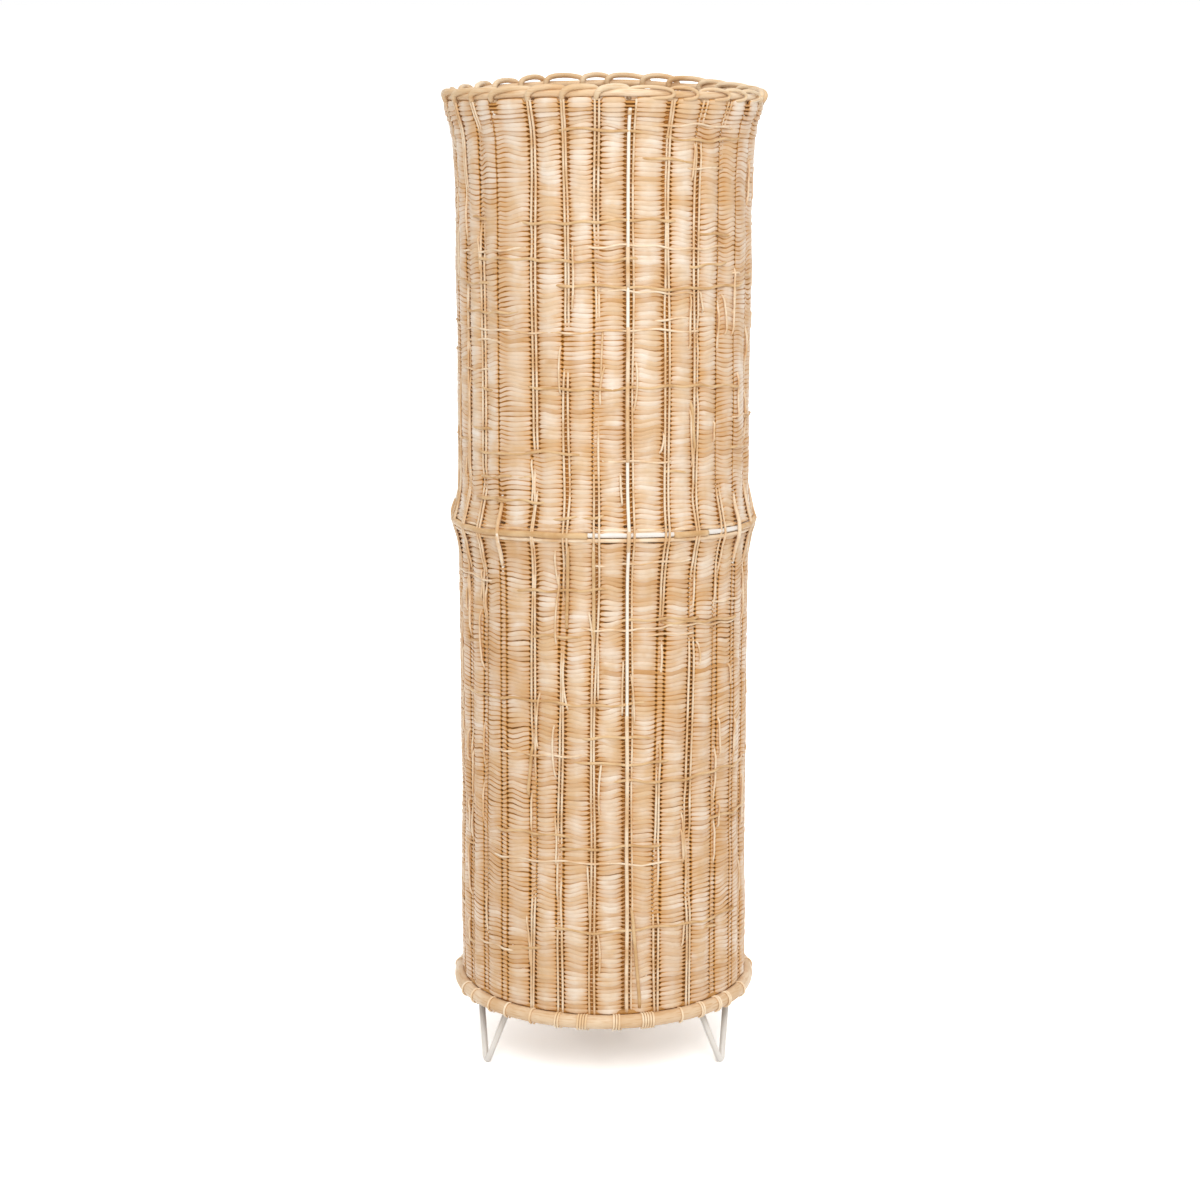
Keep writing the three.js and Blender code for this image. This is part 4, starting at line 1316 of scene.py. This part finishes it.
def hairpin(turn):
    """The line of one leg: down one strand, round the bend at the foot and up the other."""
    reach = math.sin(LEG_SPREAD) * RING_RADIUS
    top = HOOP_HEIGHT - RING_WIRE / 2 + WELD_SUNK
    middle = LEG_BEND + RING_WIRE / 2
    rise = top - middle
    lean = math.atan2(reach, rise) - math.asin(LEG_BEND / math.hypot(reach, rise))
    flat = [(-reach, top)]
    for angle in np.linspace(math.pi + lean, 2 * math.pi - lean, 17):
        flat.append((LEG_BEND * math.cos(angle), middle + LEG_BEND * math.sin(angle)))
    flat.append((reach, top))
    points = []
    for aside, height in flat:
        radius = FOOT_REACH + (math.cos(LEG_SPREAD) * RING_RADIUS - FOOT_REACH) * height / top
        point = outward(turn) * radius + sideways(turn) * aside
        points.append((point + Vector((0, 0, height - FOOT_FLAT))) * mm)
    return points


def weld_bead(name, place, size):
    form = bmesh.new()
    bmesh.ops.create_uvsphere(form, u_segments=16, v_segments=10, radius=0.5)
    bmesh.ops.scale(form, verts=form.verts[:], vec=[side * mm for side in size])
    bmesh.ops.translate(form, verts=form.verts[:], vec=place)
    add_piece(name, finished(form, name), white_steel)


for name, turn in LEG_TURNS.items():
    line = hairpin(turn)
    leg = drawn_canes("leg", [line], RING_WIRE, sides=16, smooth=1, handles="VECTOR")
    for vertex in leg.vertices:
        vertex.co.z = max(vertex.co.z, 0)
    add_piece(f"leg_{name}_wire", leg, white_steel, replaces=[f"leg_{name}"])
    for k, end in enumerate((line[0], line[-1]), start=1):
        weld_bead(f"leg_{name}_weld_{k}", end, LEG_WELD)

# %% [markdown]
# ## The spider
# Three arms run in from the ring and carry a flat plate, whose hole holds the bulb holder. The plate
# starts as two circles: `bridge_loops` joins them, an extrusion gives the thickness and a bevel breaks
# the edges.

# %% The spider
ARM_WIRE = 5.0
ARM_TURNS = (0, 120, 240)
ARM_RADII = (24.5, 129.8)
ARM_WELD = (7, 7, 5.6)
PLATE_HOLE = 20.4
PLATE_BEVEL = 0.3

for k, turn in enumerate(ARM_TURNS, start=1):
    ends = [(outward(turn) * radius + Vector((0, 0, HOOP_HEIGHT))) * mm for radius in ARM_RADII]
    arm = drawn_canes("arm", [ends], ARM_WIRE, sides=14, smooth=1, handles="VECTOR")
    add_piece(f"arm_{k}", arm, white_steel, replaces=[f"spider_arm_{k}"])
    weld_bead(f"arm_{k}_weld", ends[1], ARM_WELD)

plate_low, plate_high = (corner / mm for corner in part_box("spider_plate"))
form = bmesh.new()
for radius in (plate_high.x, PLATE_HOLE):
    bmesh.ops.create_circle(form, segments=64, radius=radius)
bmesh.ops.bridge_loops(form, edges=form.edges[:])
grown = bmesh.ops.extrude_face_region(form, geom=form.faces[:])
raised = [item for item in grown["geom"] if isinstance(item, bmesh.types.BMVert)]
bmesh.ops.translate(form, verts=raised, vec=(0, 0, plate_high.z - plate_low.z))
bmesh.ops.recalc_face_normals(form, faces=form.faces[:])
sharp = [edge for edge in form.edges if edge.calc_face_angle(0) > 1]
bmesh.ops.bevel(
    form, geom=sharp, offset=PLATE_BEVEL, segments=2, profile=0.5, affect="EDGES", material=-1
)
bmesh.ops.translate(form, verts=form.verts[:], vec=(0, 0, plate_low.z))
bmesh.ops.scale(form, verts=form.verts[:], vec=(mm, mm, mm))
plate = finished(form, "plate")
add_piece("holder_plate", plate, white_steel, replaces=["spider_plate"])
plate.set_sharp_from_angle(angle=math.radians(40))

# %% [markdown]
# ## Turned pieces
# The bulb holder and the bulb are all round, so each is a short line of corners that is bevelled and then
# spun once about the upright axis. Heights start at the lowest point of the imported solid.

# %% Turned pieces
TURNED_STEPS = 72
SHARP_ANGLE = math.radians(42)


def turned(name, node, profile, material, body="lamp", bevel=0.4):
    """A piece spun from its corners, each a radius and a height. A line that meets the axis stays open."""
    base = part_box(node)[0].z / mm
    form = bmesh.new()
    corners = [form.verts.new((0, -radius, base + height)) for radius, height in profile]
    for start, end in zip(corners, corners[1:]):
        form.edges.new((start, end))
    closed = profile[0][0] > 0 and profile[-1][0] > 0
    if closed:
        form.edges.new((corners[-1], corners[0]))
    rounded = corners if closed else corners[1:-1]
    if bevel:
        bmesh.ops.bevel(
            form, geom=rounded, offset=bevel, segments=2, profile=0.5, affect="VERTICES", material=-1
        )
    spin_round(form, TURNED_STEPS)
    bmesh.ops.remove_doubles(form, verts=form.verts[:], dist=0.0005)
    bmesh.ops.recalc_face_normals(form, faces=form.faces[:])
    bmesh.ops.scale(form, verts=form.verts[:], vec=(mm, mm, mm))
    mesh = finished(form, name)
    add_piece(name, mesh, material, body=body, replaces=[node])
    mesh.set_sharp_from_angle(angle=SHARP_ANGLE)


SKIRT = [
    (20.5, 0), (20.5, 8), (22.5, 8), (22.5, 11), (18.8, 11), (18.8, 14), (19.4, 14.6), (19.4, 45.3),
    (18.8, 46), (14.2, 46), (14.2, 14), (16.5, 14), (16.5, 0),
]
CAP = [
    (4.4, 0), (7.5, 0), (7.5, 5), (16.5, 7), (20.5, 13), (20.5, 31), (18.5, 31), (18.5, 13), (14.5, 9),
    (4.4, 7),
]
RING = [(19.8, 0), (27.5, 0), (27.5, 2), (25, 2.4), (24, 8), (19.8, 8)]
BUSH = [(3.6, 0), (5.4, 0), (6.4, 2), (6.4, 4), (3.6, 4)]
INSERT = [(0, 0), (12, 0), (12, 4), (16, 4), (16, 22), (0, 22)]
turned("holder_skirt_shell", "holder_skirt", SKIRT, holder_plastic)
turned("holder_cap_shell", "holder_cap", CAP, holder_plastic, bevel=0.7)
turned("clamp_ring_turned", "holder_clamp_ring", RING, holder_plastic, body="clamp_ring")
turned("cord_bush", "cord_inlet_bush", BUSH, black_plastic, bevel=0.25)
turned("ceramic_insert", "holder_insert", INSERT, ceramic, bevel=0.5)

BUTTON = [(0, 0), (3.9, 0), (4.5, 1.2), (0, 1.2)]
INSULATOR = [(0, 0), (4.5, 0), (10, 4), (0, 4)]
SCREW_CAP = [(0, 0), (10, 0), (12.4, 3.4), (12.6, 20.5), (13, 22), (0, 22)]
turned("bulb_contact", "bulb_button", BUTTON, bulb_metal, body="bulb", bevel=0.3)
turned("bulb_glass_ring", "bulb_insulator", INSULATOR, black_plastic, body="bulb")
turned("bulb_cap_shell", "bulb_screw_cap", SCREW_CAP, bulb_metal, body="bulb", bevel=0.3)

# %% [markdown]
# The glass grows out of the cap in a smooth swell to a round crown. Its line is worked out from a soft S
# and a quarter circle. Opal glass shows nothing of its inside, so the bulb is spun as one solid form.

# %% The glass


def swell_line(neck, belly, start, middle):
    """A line from the neck up to the belly in a soft S, and on round the crown to the axis."""
    line = []
    for share in np.linspace(0, 1, 18):
        line.append((neck + (belly - neck) * eased(share, 0, 1), start + (middle - start) * share))
    for angle in np.linspace(0, math.pi / 2, 15)[1:-1]:
        line.append((belly * math.cos(angle), middle + belly * math.sin(angle)))
    return [*line, (0, middle + belly)]


NECK = 12.4
BELLY = 30.0
glass_low, glass_high = (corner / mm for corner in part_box("bulb_glass"))
line = swell_line(NECK, BELLY, 0, glass_high.z - glass_low.z - BELLY)
turned("bulb_opal_glass", "bulb_glass", [(0, 0), *line], opal_glass, body="bulb", bevel=0)

# %% [markdown]
# Both screw threads are low ridges, drawn as a helix that lies half sunk in its wall.

# %% The threads
THREAD_STEPS = 28


def thread(name, node, material, body, radius, margins, pitch, ridge):
    """A ridge wound round a turned piece, between margins at its foot and top."""
    low, high = (corner.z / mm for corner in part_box(node))
    bottom, top = low + margins[0], high - margins[1]
    turns = (top - bottom) / pitch
    angle = np.linspace(0, 2 * math.pi * turns, int(turns * THREAD_STEPS))
    height = bottom + angle / (2 * math.pi) * pitch
    line = np.stack([radius * np.sin(angle), -radius * np.cos(angle), height], axis=-1) * mm
    add_piece(name, drawn_canes("ridge", [line], ridge, smooth=1), material, body=body)


thread("bulb_thread", "bulb_screw_cap", bulb_metal, "bulb", 12.2, (3.6, 2.6), 3.62, 1.7)
thread("holder_thread", "holder_skirt", holder_plastic, "lamp", 19.1, (16, 1.6), 2.4, 1.2)

# %% [markdown]
# The contacts and the two screws are small and plain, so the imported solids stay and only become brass.

# %% The contacts
for name in ("holder_centre_contact", "holder_side_contact", "terminal_screw_1", "terminal_screw_2"):
    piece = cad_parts[name]
    piece.data.materials.clear()
    piece.data.materials.append(brass)
